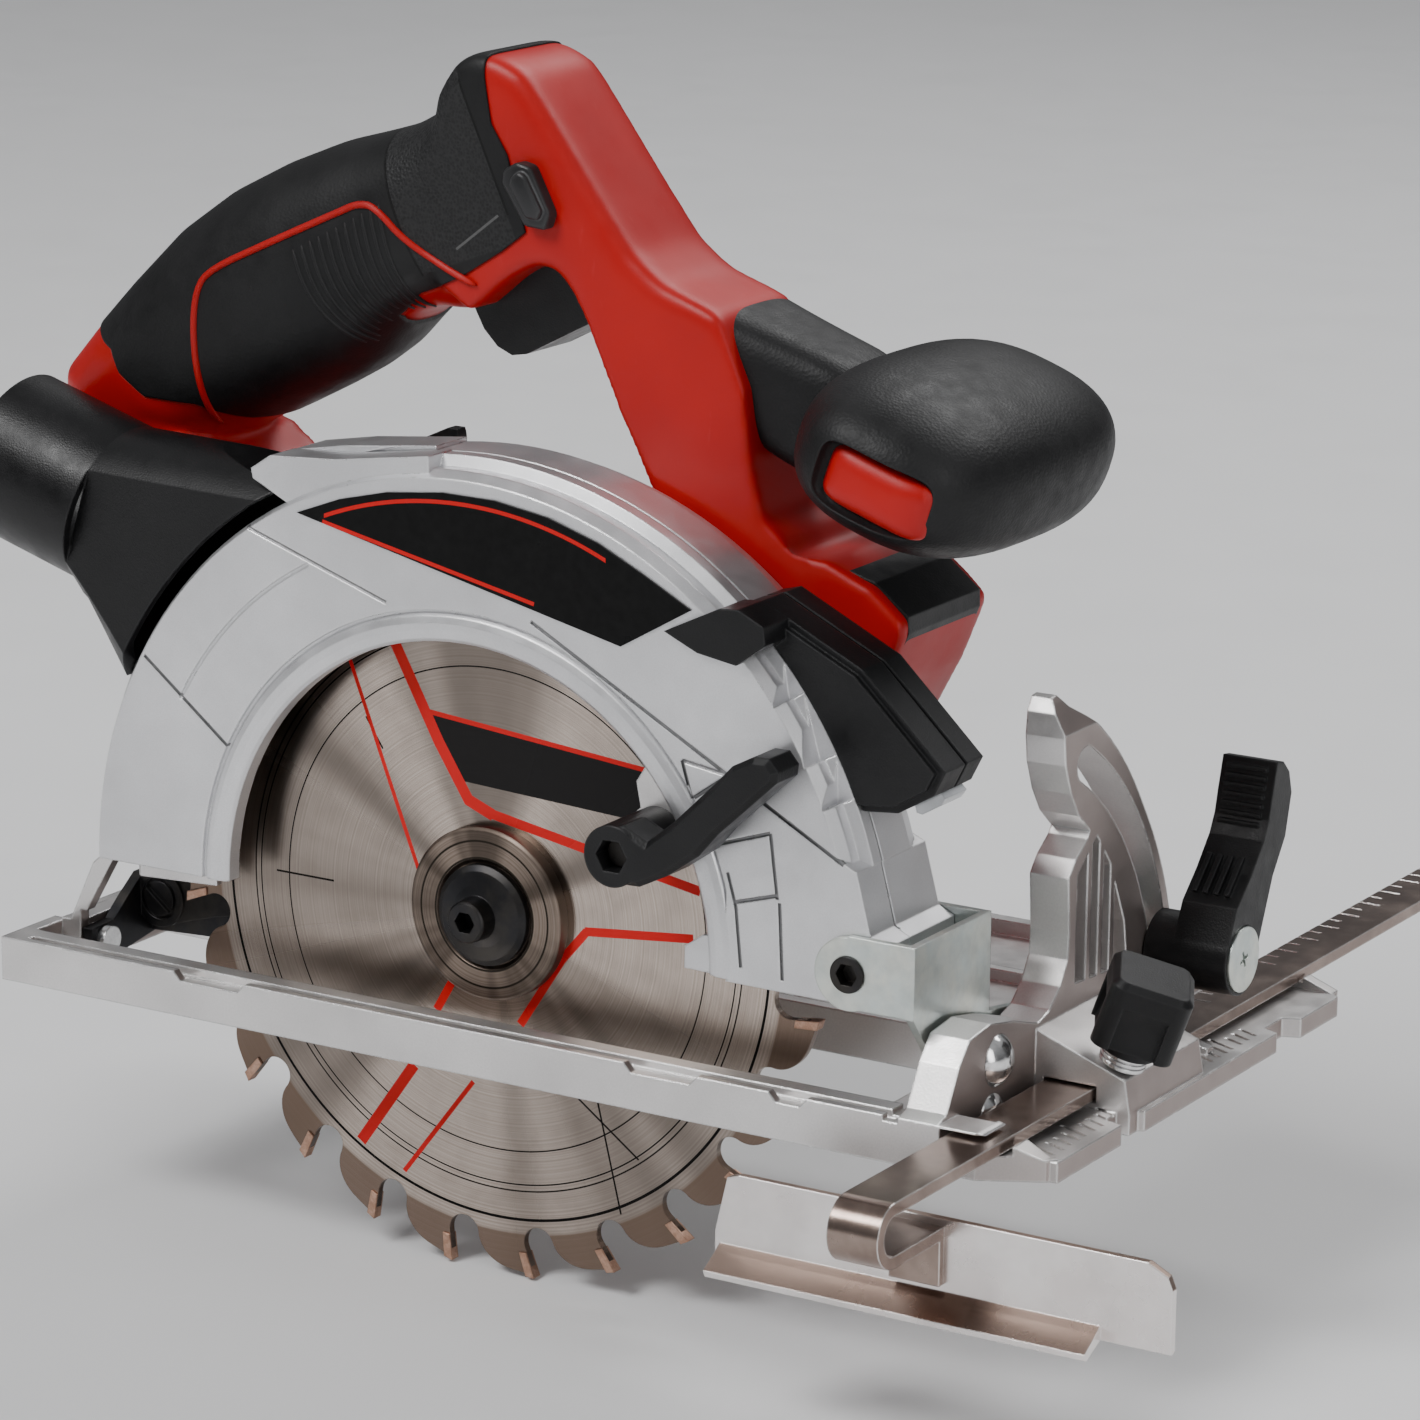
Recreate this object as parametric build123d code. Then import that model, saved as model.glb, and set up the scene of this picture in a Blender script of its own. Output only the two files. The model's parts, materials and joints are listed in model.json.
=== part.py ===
from build123d import *
import math
import os

# Cordless circular saw, 150 mm blade.  Millimetres.
# +X points forward, +Y to the left (the motor side), +Z up.
# Shapes are laid out from the point on the sole plane under the blade, in the blade's
# middle plane; save() moves them so that the part's origin lies on the sole itself,
# under the spindle's line, ORIGIN_Y to the left of the blade.

os.makedirs("parts", exist_ok=True)

# ---------------------------------------------------------------- driving dimensions
ORIGIN_Y = 45.0
BLADE_Z = 27.0            # height of the blade axis over the sole at full depth
BLADE_BODY = 1.6          # thickness of the steel body
KERF = 2.4                # width of the carbide tips
BLADE_BORE_R = 5.0
TEETH = 24
TOOTH_PHASE = 7.6         # angle of the first tooth at rest, degrees
FLANGE_R = 17.5

DEPTH_PIN_X = 87.4        # pivot of the depth setting
DEPTH_PIN_Z = 32.2
DEPTH_ARC_R = 140.0
DEPTH_BOLT_ANGLE = 179.0  # where the clamp bolt stands on the arc at full depth

BEVEL_Y = 0.0             # pivot of the bevel setting, along X
BEVEL_Z = 5.0
BEVEL_SLOT_R = 69.5
BEVEL_SLOT_W = 7.0
BEVEL_BOLT_R = 3.0
BEVEL_BOLT_ANGLE = 13.6   # where the bolt stands in the slot at 0 degrees
BEVEL_RANGE = 45.0

BASE_REAR = -106.6
BASE_FRONT = 132.4
BASE_RIGHT = -20.8
BASE_LEFT = 110.0
PLATE_T = 4.0
RAIL_H = 9.1
RAIL_INNER = -13.0
OPENING_LEFT = 30.0

BAR_X0 = 113.2            # parallel guide bar
BAR_X1 = 123.6
BAR_Z0 = 5.6
BAR_Z1 = 8.0
BAR_END = 196.0
FENCE_Y = -40.4

GUARD_FACE = -12.0        # outer face of the upper guard
GUARD_SEAM = -3.0
GUARD_BACK = 14.0
GUARD_R = 88.0
GUARD_RIM_R = 91.6
GUARD_WINDOW_R = 56.0
GUARD_BOTTOM = 26.6

GEAR_MODULE = 0.8
GEAR_TEETH = 43
PINION_TEETH = 10
MOTOR_ANGLE = 110.0       # direction of the motor axis from the blade axis
MOTOR_OFFSET = GEAR_MODULE * (GEAR_TEETH + PINION_TEETH) / 2
MOTOR_X = MOTOR_OFFSET * math.cos(math.radians(MOTOR_ANGLE))
MOTOR_Z = BLADE_Z + MOTOR_OFFSET * math.sin(math.radians(MOTOR_ANGLE))

HANDLE_Y = 32.0           # middle plane of the handle
SHELL_R_Y = 14.6          # right face of the handle shells
SHELL_L_Y = 49.4
SHELL_WALL = 2.6
GRIP_SKIN = 2.2

PORT_END = (-117.9, 1.6, 104.4)
PORT_TILT = 16.8
PORT_R = 17.0
PORT_BORE_R = 15.0
PORT_LENGTH = 27.0


# ---------------------------------------------------------------- helpers
def block(x0, x1, y0, y1, z0, z1):
    centre = Pos((x0 + x1) / 2, (y0 + y1) / 2, (z0 + z1) / 2)
    return centre * Box(x1 - x0, y1 - y0, z1 - z0)


def cyl_x(y, z, radius, x0, x1):
    return Pos((x0 + x1) / 2, y, z) * Rot(0, 90, 0) * Cylinder(radius, x1 - x0)


def cyl_y(x, z, radius, y0, y1):
    return Pos(x, (y0 + y1) / 2, z) * Rot(90, 0, 0) * Cylinder(radius, y1 - y0)


def prism_x(points, x0, x1):
    outline = Polyline(*[(x0, y, z) for y, z in points], close=True)
    return extrude(make_face(outline), amount=x1 - x0, dir=(1, 0, 0))


def prism_y(points, y0, y1):
    outline = Polyline(*[(x, y0, z) for x, z in points], close=True)
    return extrude(make_face(outline), amount=y1 - y0, dir=(0, 1, 0))


def prism_z(points, z0, z1):
    outline = Polyline(*[(x, y, z0) for x, y in points], close=True)
    return extrude(make_face(outline), amount=z1 - z0, dir=(0, 0, 1))


def grown_y(points, growth, y0, y1):
    """Prism of an XZ outline moved outwards (or inwards when growth is negative)."""
    outline = make_face(Polyline(*[(x, z) for x, z in points], close=True))
    moved = offset(outline, amount=growth, kind=Kind.INTERSECTION)
    return extrude(Plane((0, y0, 0), x_dir=(1, 0, 0), z_dir=(0, -1, 0)) * moved, amount=-(y1 - y0))


def turned(profile, x=0.0, z=BLADE_Z):
    """Solid of revolution about a Y axis through (x, z); the profile lists (radius, y)."""
    face = make_face(Polyline(*[(x + r, y, z) for r, y in profile], close=True))
    return revolve(face, axis=Axis((x, 0, z), (0, 1, 0)), revolution_arc=360)


def sector(radius, start, end, y0, y1, x=0.0, z=BLADE_Z, steps=8):
    """Wedge prism about a Y axis; angles in degrees from +X towards +Z."""
    points = [(x, z)]
    for i in range(steps + 1):
        angle = math.radians(start + (end - start) * i / steps)
        points.append((x + radius * math.cos(angle), z + radius * math.sin(angle)))
    return prism_y(points, y0, y1)


def polar(radius, degrees, x=0.0, z=BLADE_Z):
    angle = math.radians(degrees)
    return (x + radius * math.cos(angle), z + radius * math.sin(angle))


def hex_prism_y(x, z, flats, y0, y1):
    corner = flats / math.sqrt(3)
    return prism_y([polar(corner, 60 * i, x, z) for i in range(6)], y0, y1)


def largest(shape):
    return shape.solids().sort_by(SortBy.VOLUME)[-1]


def save(name, shape):
    export_step(Pos(0, -ORIGIN_Y, 0) * shape, "parts/" + name + ".step")


def group(solids):
    return Compound(children=[s.solid() if len(s.solids()) == 1 else s for s in solids])


# ---------------------------------------------------------------- base
def base_rail():
    rail = block(BASE_REAR, 119.0, BASE_RIGHT, RAIL_INNER, 0, RAIL_H)
    nose = prism_z([(118.9, BASE_RIGHT), (130.4, -14.6), (BASE_FRONT, -12.0), (118.9, -12.0)], 0, 4.2)
    ramp = prism_y([(118.9, 0), (118.9, RAIL_H), (121.0, 8.6), (130.0, 4.2), (130.0, 0)], -20.8, -12.0)
    corner = prism_z([(118.9, BASE_RIGHT), (130.4, -14.6), (130.4, -12.0), (118.9, -12.0)], -1, 10)
    groove = block(-101.0, 101.0, -18.9, -17.0, 7.4, 10)
    rail = rail - groove + (ramp & corner) + nose
    for start, end in ((-64.0, -45.0), (42.0, 60.0), (74.0, 84.0)):
        step = prism_y([(start, 10), (start + 2.5, 7.3), (end - 2.5, 7.3), (end, 10)], -21.5, -18.0)
        rail -= step
    rail -= block(111.4, 124.9, -22, -12, 4.9, 8.7)
    return rail


def base_front_wall():
    wall = prism_x([(-20.8, 0), (-20.8, RAIL_H), (-17.4, 10.2), (-13.0, 18.0), (-9.0, 22.4), (-1.0, 23.4),
                    (8.0, 21.6), (18.0, 18.5), (31.0, 18.5), (31.0, 0)], 102.6, 111.0)
    return wall


def quadrant():
    """Cast bevel quadrant with its slot, a ribbed web and the tip at the top."""
    x0 = 102.6
    x1 = 111.0
    arc = []
    for i in range(17):
        degrees = 66.0 - 60.0 * i / 16
        outer_r = 75.4 + 3.2 * max(0.0, (degrees - 38.0) / 28.0)
        angle = math.radians(degrees)
        arc.append((BEVEL_Y + outer_r * math.cos(angle), BEVEL_Z + outer_r * math.sin(angle)))
    outline = [(18.0, 0), (18.0, 18.5), (22.4, 19.8), (26.4, 23.4), (29.2, 28.0), (29.6, 33.0),
               (28.8, 44.0),
               (31.6, 47.2), (36.0, 50.2), (37.0, 51.6), (32.2, 55.6), (28.8, 60.6), (26.4, 66.6),
               (25.7, 72.0), (26.2, 76.4), (27.8, 79.0), (29.8, 79.2)] + arc + [(76.0, 0)]
    plate = prism_x(outline, x0, x1)
    slot_in = BEVEL_SLOT_R - BEVEL_SLOT_W / 2
    slot_out = BEVEL_SLOT_R + BEVEL_SLOT_W / 2
    band = cyl_x(BEVEL_Y, BEVEL_Z, slot_out, x0 - 1, x1 + 1)
    band -= cyl_x(BEVEL_Y, BEVEL_Z, slot_in, x0 - 2, x1 + 2)
    low = math.radians(BEVEL_BOLT_ANGLE - 1.5)
    high = math.radians(BEVEL_BOLT_ANGLE + BEVEL_RANGE + 1.5)
    reach = 120.0
    wedge = prism_x([(0, BEVEL_Z), (reach * math.cos(low), BEVEL_Z + reach * math.sin(low)),
                     (reach * math.cos(high), BEVEL_Z + reach * math.sin(high))], x0 - 1, x1 + 1)
    slot = band & wedge
    for angle in (low, high):
        y = BEVEL_Y + BEVEL_SLOT_R * math.cos(angle)
        z = BEVEL_Z + BEVEL_SLOT_R * math.sin(angle)
        slot += cyl_x(y, z, BEVEL_SLOT_W / 2, x0 - 1, x1 + 1)
    plate -= slot
    recess = prism_x([(32.4, 22.5), (32.4, 44.0), (40.0, 50.0), (46.0, 43.0), (52.5, 30.0), (54.0, 21.0)],
                     x1 - 4.5, x1 + 1)
    for y in (36.6, 41.4, 46.2):
        recess -= block(x1 - 6, x1 + 2, y, y + 1.8, 15, 60)
    crown = prism_y([(x1 + 0.1, 72.4), (x1 + 0.1, 82.0), (x0 + 2.0, 82.0), (x1 - 3.4, 78.0)], 20.0, 44.0)
    return plate - recess - crown


def clamp_block():
    """Wedge over the guide bar; the clamp screw stands square on its slope."""
    wedge = prism_y([(110.9, 0), (110.9, 17.6), (130.0, 10.6), (131.2, 4.0), (131.2, 0)], 17.0, 48.0)
    return wedge


def base_plate():
    outline = [(BASE_REAR, BASE_RIGHT + 6), (BASE_REAR, BASE_LEFT - 5), (BASE_REAR + 5, BASE_LEFT),
               (BASE_FRONT - 4, BASE_LEFT), (BASE_FRONT, BASE_LEFT - 4),
               (BASE_FRONT, 89.0), (BASE_FRONT - 3.5, 87.5), (BASE_FRONT - 3.5, 79.5), (BASE_FRONT, 78.0),
               (BASE_FRONT, 21.0), (BASE_FRONT - 4, 19.0), (BASE_FRONT - 4, 13.0), (BASE_FRONT, 11.5),
               (BASE_FRONT, -14.0), (118.0, -14.0), (118.0, BASE_RIGHT + 6)]
    plate = prism_z(outline, 0, PLATE_T)
    plate += base_rail()
    plate += block(BASE_REAR, -103.6, BASE_RIGHT + 1, 30.0, 0, RAIL_H)
    plate += block(-103.7, 90.0, OPENING_LEFT, OPENING_LEFT + 3.0, 0, RAIL_H)
    plate += block(BASE_REAR + 5, 122.0, BASE_LEFT - 3.0, BASE_LEFT, 0, 7.2)
    plate += block(BASE_REAR, BASE_REAR + 3.0, 30.0, BASE_LEFT - 5.0, 0, 7.2)
    plate += prism_y([(121.9, 3), (121.9, 7.2), (130.5, 4.0), (130.5, 3)], BASE_LEFT - 3.0, BASE_LEFT)
    for y in (50.0, 78.0):
        plate += prism_y([(-103.0, 3), (-103.0, 6.5), (102.8, 6.5), (102.8, 3)], y, y + 2.4)
    for x in (-58.0, -8.0, 42.0):
        plate += block(x, x + 2.4, OPENING_LEFT + 2.0, BASE_LEFT - 2.0, 3, 6.5)
    plate += base_front_wall() + quadrant() + clamp_block()
    plate += prism_x([(75.0, 3), (75.0, 20.0), (80.0, 9.0), (107.5, 7.2), (107.5, 3)], 104.0, 107.0)
    plate += prism_y([(110.9, 3), (110.9, 9.0), (127.0, 5.2), (127.0, 3)], 58.0, 60.6)
    # rear wall and its forward-leaning lug
    plate += block(-103.8, -99.0, -4.6, 22.0, 0, 9.6)
    plate += prism_y([(-103.8, 3),
                      (-103.8, 7.0), (-101.6, 9.3), (-95.4, 22.6), (-93.6, 24.2), (-90.2, 24.2),
                      (-91.2, 22.6), (-98.9, 9.3), (-99.1, 3)], -4.6, -1.8)
    plate -= prism_z([(-86.0, RAIL_INNER),
                      (84.0, RAIL_INNER), (90.0, -8.0), (90.0, 24.0), (84.0, OPENING_LEFT),
                      (-80.0, OPENING_LEFT), (-86.0, 24.0)], -1, 12)
    plate -= block(97.0, 102.6, -12.0, 31.0, -1, 12)
    plate -= block(99.4, 102.6, -22.0, -11.0, 8.0, 12)
    plate -= block(-98.9, -86.0, -5.4, 24.0, -1, 12)
    plate -= cyl_x(BEVEL_Y, BEVEL_Z, 5.2, -107, -103.7)
    plate -= block(BAR_X0 - 0.4, BAR_X1 + 0.5, 16.0, BASE_LEFT + 2.0, BAR_Z0 - 0.4, BAR_Z1 + 0.5)
    plate -= cyl_x(BEVEL_Y, BEVEL_Z, 3.0, 100, 112)
    plate -= cyl_x(BEVEL_Y, BEVEL_Z, 5.0, 110.98, 113.4)
    plate -= cyl_x(2.0, 15.4, 2.4, 100, 112)
    plate -= cyl_x(BEVEL_Y, BEVEL_Z, 3.0, -106, -98)
    plate -= knob_frame() * (Pos(0, 0, -6.0) * Cylinder(2.6, 16.0))
    for i in range(9):
        plate -= scale_mark(-9.0 + 3.2 * i, 7.0 if i % 4 == 0 else 4.6)
    for i in range(16):
        plate -= scale_mark(27.0 + 3.2 * i, 7.0 if i % 4 == 0 else 4.6)
    return plate


def scale_mark(y, length):
    """Shallow slanted groove of the cutting scale at the sole's front edge."""
    centre = Pos(BASE_FRONT - 2.6 - length / 2, y, PLATE_T) * Rot(0, 0, -24)
    return centre * Box(length, 0.7, 0.7)


def knob_frame():
    """Frame of the clamp screw: its local Z axis is square to the block's slope."""
    return Pos(126.6, 22.0, 12.2) * Rot(0, 20.0, 0)


def rivet_head(radius, height):
    dome = Sphere((radius * radius + height * height) / (2 * height))
    sunk = (radius * radius - height * height) / (2 * height)
    cap = (Pos(0, 0, -sunk) * dome) & (Pos(0, 0, height / 2) * Cylinder(radius, height))
    return cap


def bevel_rivets():
    """Domed pivot rivet, domed stop rivet and the rear pivot rivet; shanks reach the bevel frame."""
    solids = []
    for y, z, radius, height, hole in ((BEVEL_Y, BEVEL_Z, 4.6, 1.9, 2.98), (2.0, 15.4, 5.2, 2.8, 2.38)):
        head = Pos(111.0, y, z) * Rot(0, 90, 0) * rivet_head(radius, height)
        tail = 98.6 if hole > 2.5 else 103.2
        solids.append((head + cyl_x(y, z, hole, tail, 111.2)).solid())
    rear = Pos(-103.8, BEVEL_Y, BEVEL_Z) * Rot(0, -90, 0) * rivet_head(4.6, 2.2)
    solids.append((rear + cyl_x(BEVEL_Y, BEVEL_Z, 2.98, -104.0, -94.4)).solid())
    return group(solids)


# ---------------------------------------------------------------- parallel guide
def guide_bar():
    """Flat bar whose end turns back under itself and down to the fence."""
    t = BAR_Z1 - BAR_Z0
    y_turn = -58.6
    hook_r = 6.2
    bar = block(BAR_X0, BAR_X1, y_turn, BAR_END, BAR_Z0, BAR_Z1)
    z_mid = BAR_Z1 - hook_r
    ring = cyl_x(y_turn, z_mid, hook_r, BAR_X0, BAR_X1)
    ring -= cyl_x(y_turn, z_mid, hook_r - t, BAR_X0 - 1, BAR_X1 + 1)
    ring &= block(BAR_X0, BAR_X1, y_turn - 10, y_turn, z_mid - 10, z_mid + 10)
    z_low = z_mid - hook_r
    leg = block(BAR_X0, BAR_X1, y_turn, FENCE_Y - 1.6, z_low, z_low + t)
    tab = block(BAR_X0, BAR_X1, FENCE_Y - 1.6, FENCE_Y, -13.0, z_low + t)
    bar = bar + ring + leg + tab
    for i in range(27):
        length = 4.6 if i % 2 == 0 else 2.8
        y = 57.0 + 5.0 * i
        bar -= block(BAR_X0 - 1, BAR_X0 + length, y, y + 0.6, BAR_Z1 - 0.3, BAR_Z1 + 1)
    return bar


def guide_fence():
    """Long pressed plate with an out-turned foot and a stiffening fold."""
    x0, x1 = 75.5, 169.5
    plate = prism_y([(x0, -12.0), (x0 + 2.5, -1.4), (x0 + 5.0, -0.6), (x1 - 5.0, -0.6), (x1 - 1.0, -2.6),
                     (x1, -5.0), (x1, -17.0), (x1 - 10.0, -17.0), (x1 - 12.0, -17.0), (x0, -17.0)],
                    FENCE_Y, FENCE_Y + 1.6)
    foot = prism_x([(FENCE_Y + 0.2, -14.2), (FENCE_Y + 0.2, -17.0), (-45.6, -19.4), (-46.4, -18.0),
                    (-42.0, -15.4)], x0 + 1.0, x1 - 14.0)
    foot -= block(BAR_X0 - 0.3, BAR_X1 + 0.3, -44.0, FENCE_Y, -13.1, -10)
    return plate + foot


def guide_knob():
    """Square lobed clamp knob with its screw."""
    head = Pos(0, 0, 12.6) * Box(16.0, 16.0, 14.0)
    head = fillet(head.edges().filter_by(Axis.Z), 3.0)
    head = chamfer(head.faces().sort_by(Axis.Z)[-1].edges(), 1.2)
    for turn in range(4):
        head -= Rot(0, 0, 90 * turn) * Pos(0, 17.4, 9.4) * Rot(0, 90, 0) * Cylinder(10.8, 9.0)
    stem = Pos(0, 0, 5.2) * Cylinder(5.8, 3.4)
    screw = Pos(0, 0, 0.0) * Cylinder(2.3, 9.0)
    return knob_frame() * Rot(0, 0, 28) * (head + stem + screw)


def knob_spring():
    """Short thrust spring under the knob, three turns ground flat together."""
    spring = Cylinder(4.6, 2.9) - Cylinder(2.7, 4.0)
    for z in (-0.48, 0.48):
        spring -= Pos(0, 0, z) * (Cylinder(6.0, 0.3) - Cylinder(4.0, 0.4))
    return knob_frame() * Pos(0, 0, 1.85) * spring


# ---------------------------------------------------------------- bevel frame
def bevel_bolt_place(angle=BEVEL_BOLT_ANGLE):
    a = math.radians(angle)
    return (BEVEL_Y + BEVEL_SLOT_R * math.cos(a), BEVEL_Z + BEVEL_SLOT_R * math.sin(a))


def bevel_bracket():
    """Zinc-plated fork: two ears, a front web and the wing that carries the bevel bolt."""
    x_in = 100.0
    x_out = 101.6
    ears = None
    for y0, y1 in ((-13.7, -12.2), (14.2, 15.7)):
        ear = block(DEPTH_PIN_X, x_in + 0.2, y0, y1, 25.6, 39.6)
        ear += cyl_y(DEPTH_PIN_X, DEPTH_PIN_Z, 7.1, y0, y1)
        ears = ear if ears is None else ears + ear
    by, bz = bevel_bolt_place()
    web = prism_x([(-13.7, 39.6), (15.7, 39.6), (15.7, 20.0), (32.0, 17.4), (54.0, 24.0),
                   (by - 3, bz + 8.0), (by + 5, bz + 6.0), (by + 7, bz - 3), (by + 2, bz - 7.0),
                   (40.0, 7.0), (12.0, 6.6), (4.9, 5.5), (3.6, 1.7), (0, 0.4), (-3.6, 1.7),
                   (-4.4, 7.0), (-4.0, 13.4), (-13.7, 25.6)], x_in, x_out)
    fork = ears + web
    fork -= cyl_x(BEVEL_Y, BEVEL_Z, 3.05, x_in - 1, x_out + 1)
    fork -= cyl_x(by, bz, BEVEL_BOLT_R, x_in - 1, x_out + 1)
    fork -= cyl_y(DEPTH_PIN_X, DEPTH_PIN_Z, 3.5, -20, 20)
    return fork


def bevel_bolt():
    by, bz = bevel_bolt_place()
    head = prism_x([(by + 5.6 * math.cos(math.radians(60 * i)), bz + 5.6 * math.sin(math.radians(60 * i)))
                    for i in range(6)], 96.4, 100.0)
    return head + cyl_x(by, bz, BEVEL_BOLT_R, 100.0, 126.0)


def depth_pin():
    """Pivot pin of the depth setting, riveted into the fork's ears, with a socket in its head."""
    pin = cyl_y(DEPTH_PIN_X, DEPTH_PIN_Z, 3.5, -13.9, 17.4)
    head = cyl_y(DEPTH_PIN_X, DEPTH_PIN_Z, 3.5, -14.2, -13.7)
    cap = cyl_y(DEPTH_PIN_X, DEPTH_PIN_Z, 5.4, 15.7, 18.2)
    socket = hex_prism_y(DEPTH_PIN_X, DEPTH_PIN_Z, 4.0, -15.5, -11.5)
    return pin + head + cap - socket


def arc_strip(r0, r1, start, end, y0, y1):
    band = cyl_y(DEPTH_PIN_X, DEPTH_PIN_Z, r1, y0, y1) - cyl_y(DEPTH_PIN_X, DEPTH_PIN_Z, r0, y0 - 1, y1 + 1)
    return band & sector(r1 + 30, start, end, y0 - 2, y1 + 2, DEPTH_PIN_X, DEPTH_PIN_Z)


def depth_arm():
    """Blackened steel arm: rear pivot flange, foot, spring boss and the slotted depth arc."""
    y0 = 15.8
    y1 = 18.6
    arc = arc_strip(DEPTH_ARC_R - 6, DEPTH_ARC_R + 6, 143.4, 189.0, y0, y1)
    tip = polar(DEPTH_ARC_R, 143.4, DEPTH_PIN_X, DEPTH_PIN_Z)
    arc += cyl_y(tip[0], tip[1], 6.0, y0, y1)
    arc -= prism_y([(-45.0, 107.2), (-21.7, 118.0), (-14.0, 118.0), (-14.0, 130.0), (-45.0, 130.0)],
                   y0 - 1, y1 + 1)
    slot = arc_strip(DEPTH_ARC_R - 2.6, DEPTH_ARC_R + 2.6, 145.5, 184.5, y0 - 1, y1 + 1)
    arc -= slot
    foot = prism_y([(-46.0, 6.4), (-46.0, 18.0), (-60.0, 22.0), (-84.0, 22.0), (-98.6, 16.0), (-98.6, 3.0),
                    (-80.0, 4.0)], y0, y1)
    flange = prism_x([(y1, 3.0), (y1, 16.0), (13.0, 16.0), (8.0, 12.4), (3.0, 8.4), (-4.2, 8.1),
                      (-4.2, 4.2), (-2.6, 1.0), (3.0, 0.6)], -98.6, -96.2)
    boss = cyl_y(-91.6, 11.4, 6.2, 12.2, y0)
    finger = prism_y([(-91.6, 17.6), (-84.0, 17.0), (-78.0, 14.6), (-76.0, 15.6), (-72.4, 15.4),
                      (-70.8, 13.0), (-72.0, 10.6), (-78.0, 9.4), (-91.6, 5.2)], 12.8, y0)
    arm = arc + foot + flange + boss + finger
    arm -= cyl_x(BEVEL_Y, BEVEL_Z, 3.05, -100, -94)
    arm -= Pos(-91.6, 12.0, 11.4) * Rot(0, 38, 0) * Box(7.4, 2.4, 1.3)
    arm -= cyl_y(-91.6, 11.4, 4.4, 11.0, 12.9) - cyl_y(-91.6, 11.4, 3.7, 11.0, 13.1)
    return arm


def bevel_lever():
    """Clamp lever of the bevel setting: hub round the bolt and a bent, ribbed paddle."""
    by, bz = bevel_bolt_place()
    hub = cyl_x(by, bz, 7.3, 111.4, 129.2)
    outline = [(by - 6.4, bz + 3.4), (64.6, 32.1), (70.4, 37.4), (75.6, 43.2), (77.6, 47.0), (78.6, 51.0),
               (80.6, 58.0), (83.2, 57.6), (86.0, 55.0), (87.4, 50.4), (85.2, 42.0), (80.2, 35.2),
               (by + 7.2, bz + 1.6), (by, bz)]
    lever = hub + prism_x(outline, 117.4, 129.2)
    for i in range(7):
        z = 45.4 + 1.75 * i
        y = 77.0 + 0.28 * (z - 45.4)
        lever += block(118.6, 127.4, y - 0.5, y + 3.0, z, z + 0.8)
    for i in range(4):
        x = 118.8 + 2.3 * i
        lever += prism_x([(65.4, 34.2), (72.0, 40.4), (73.6, 39.4), (67.2, 33.2)], x, x + 1.1)
    lever -= cyl_x(by, bz, BEVEL_BOLT_R + 0.05, 111.0, 126.3)
    lever -= cyl_x(by, bz, 6.6, 128.2, 130.0)
    return largest(lever)


def bevel_lever_cap():
    """Zinc-plated retaining disc with a cross recess."""
    by, bz = bevel_bolt_place()
    disc = cyl_x(by, bz, 6.5, 128.2, 129.7)
    for turn in (0, 90):
        cross = Pos(129.9, by, bz) * Rot(turn + 20, 0, 0) * Box(1.8, 3.4, 0.8)
        disc -= cross
    return disc


# ---------------------------------------------------------------- blade group
def tooth_gap():
    """The gullet between one tip and the back of the next tooth."""
    def at(degrees, radius):
        x, z = polar(radius, TOOTH_PHASE + degrees)
        return (x, -4, z)
    face_line = Polyline(at(0.1, 77.0), at(0.0, 75.0), at(-1.3, 68.6))
    gullet = ThreePointArc(at(-1.3, 68.6), at(1.0, 64.6), at(4.4, 67.2))
    back = Spline(at(4.4, 67.2), at(5.6, 70.4), at(8.6, 72.9), at(12.6, 73.9), at(14.9, 74.6))
    rim = Polyline(at(14.9, 74.6), at(14.95, 77.0), at(7.5, 78.5), at(0.1, 77.0))
    outline = Wire([*face_line.edges(), *gullet.edges(), *back.edges(), *rim.edges()])
    return extrude(make_face(outline), amount=8, dir=(0, 1, 0))


def tip_shape(width, grow=0.0):
    tip = [polar(74.95, TOOTH_PHASE), polar(69.8, TOOTH_PHASE - 1.05), polar(69.8, TOOTH_PHASE - 2.35),
           polar(74.62, TOOTH_PHASE - 1.5)]
    return prism_y(tip, -width / 2 - grow, width / 2 + grow)


def around_blade(shape, step):
    return Pos(0, 0, BLADE_Z) * Rot(0, -step, 0) * Pos(0, 0, -BLADE_Z) * shape


def saw_blade():
    disc = cyl_y(0, BLADE_Z, 74.9, -BLADE_BODY / 2, BLADE_BODY / 2)
    gap = tooth_gap()
    seat = tip_shape(KERF, 1.0)
    cuts = []
    for i in range(TEETH):
        cuts.append(around_blade(gap, 360 / TEETH * i))
        cuts.append(around_blade(seat, 360 / TEETH * i))
    disc = disc.cut(*cuts)
    return disc - cyl_y(0, BLADE_Z, BLADE_BORE_R, -4, 4)


def blade_tips():
    tip = tip_shape(KERF)
    return group([around_blade(tip, 360 / TEETH * i).solid() for i in range(TEETH)])


def outer_flange():
    half = BLADE_BODY / 2
    return turned([(BLADE_BORE_R + 0.02, -half),
                   (FLANGE_R, -half), (FLANGE_R, -3.4), (FLANGE_R - 0.6, -4.0),
                   (11.2, -4.0), (10.4, -3.2), (BLADE_BORE_R + 0.02, -3.2)])


def inner_flange():
    half = BLADE_BODY / 2
    return turned([(BLADE_BORE_R, half), (FLANGE_R, half), (FLANGE_R, 3.0), (FLANGE_R - 1, 4.0),
                   (BLADE_BORE_R, 4.0)])


def blade_bolt():
    """Flanged clamp bolt with a hexagon socket."""
    body = turned([(0, -3.2),
                   (10.2, -3.2), (10.2, -4.6), (9.0, -5.4), (6.2, -6.0), (4.4, -6.6), (4.2, -10.4),
                   (3.8, -10.9), (0, -10.9)])
    return body - hex_prism_y(0, BLADE_Z, 4.0, -12.0, -7.0)


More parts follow.
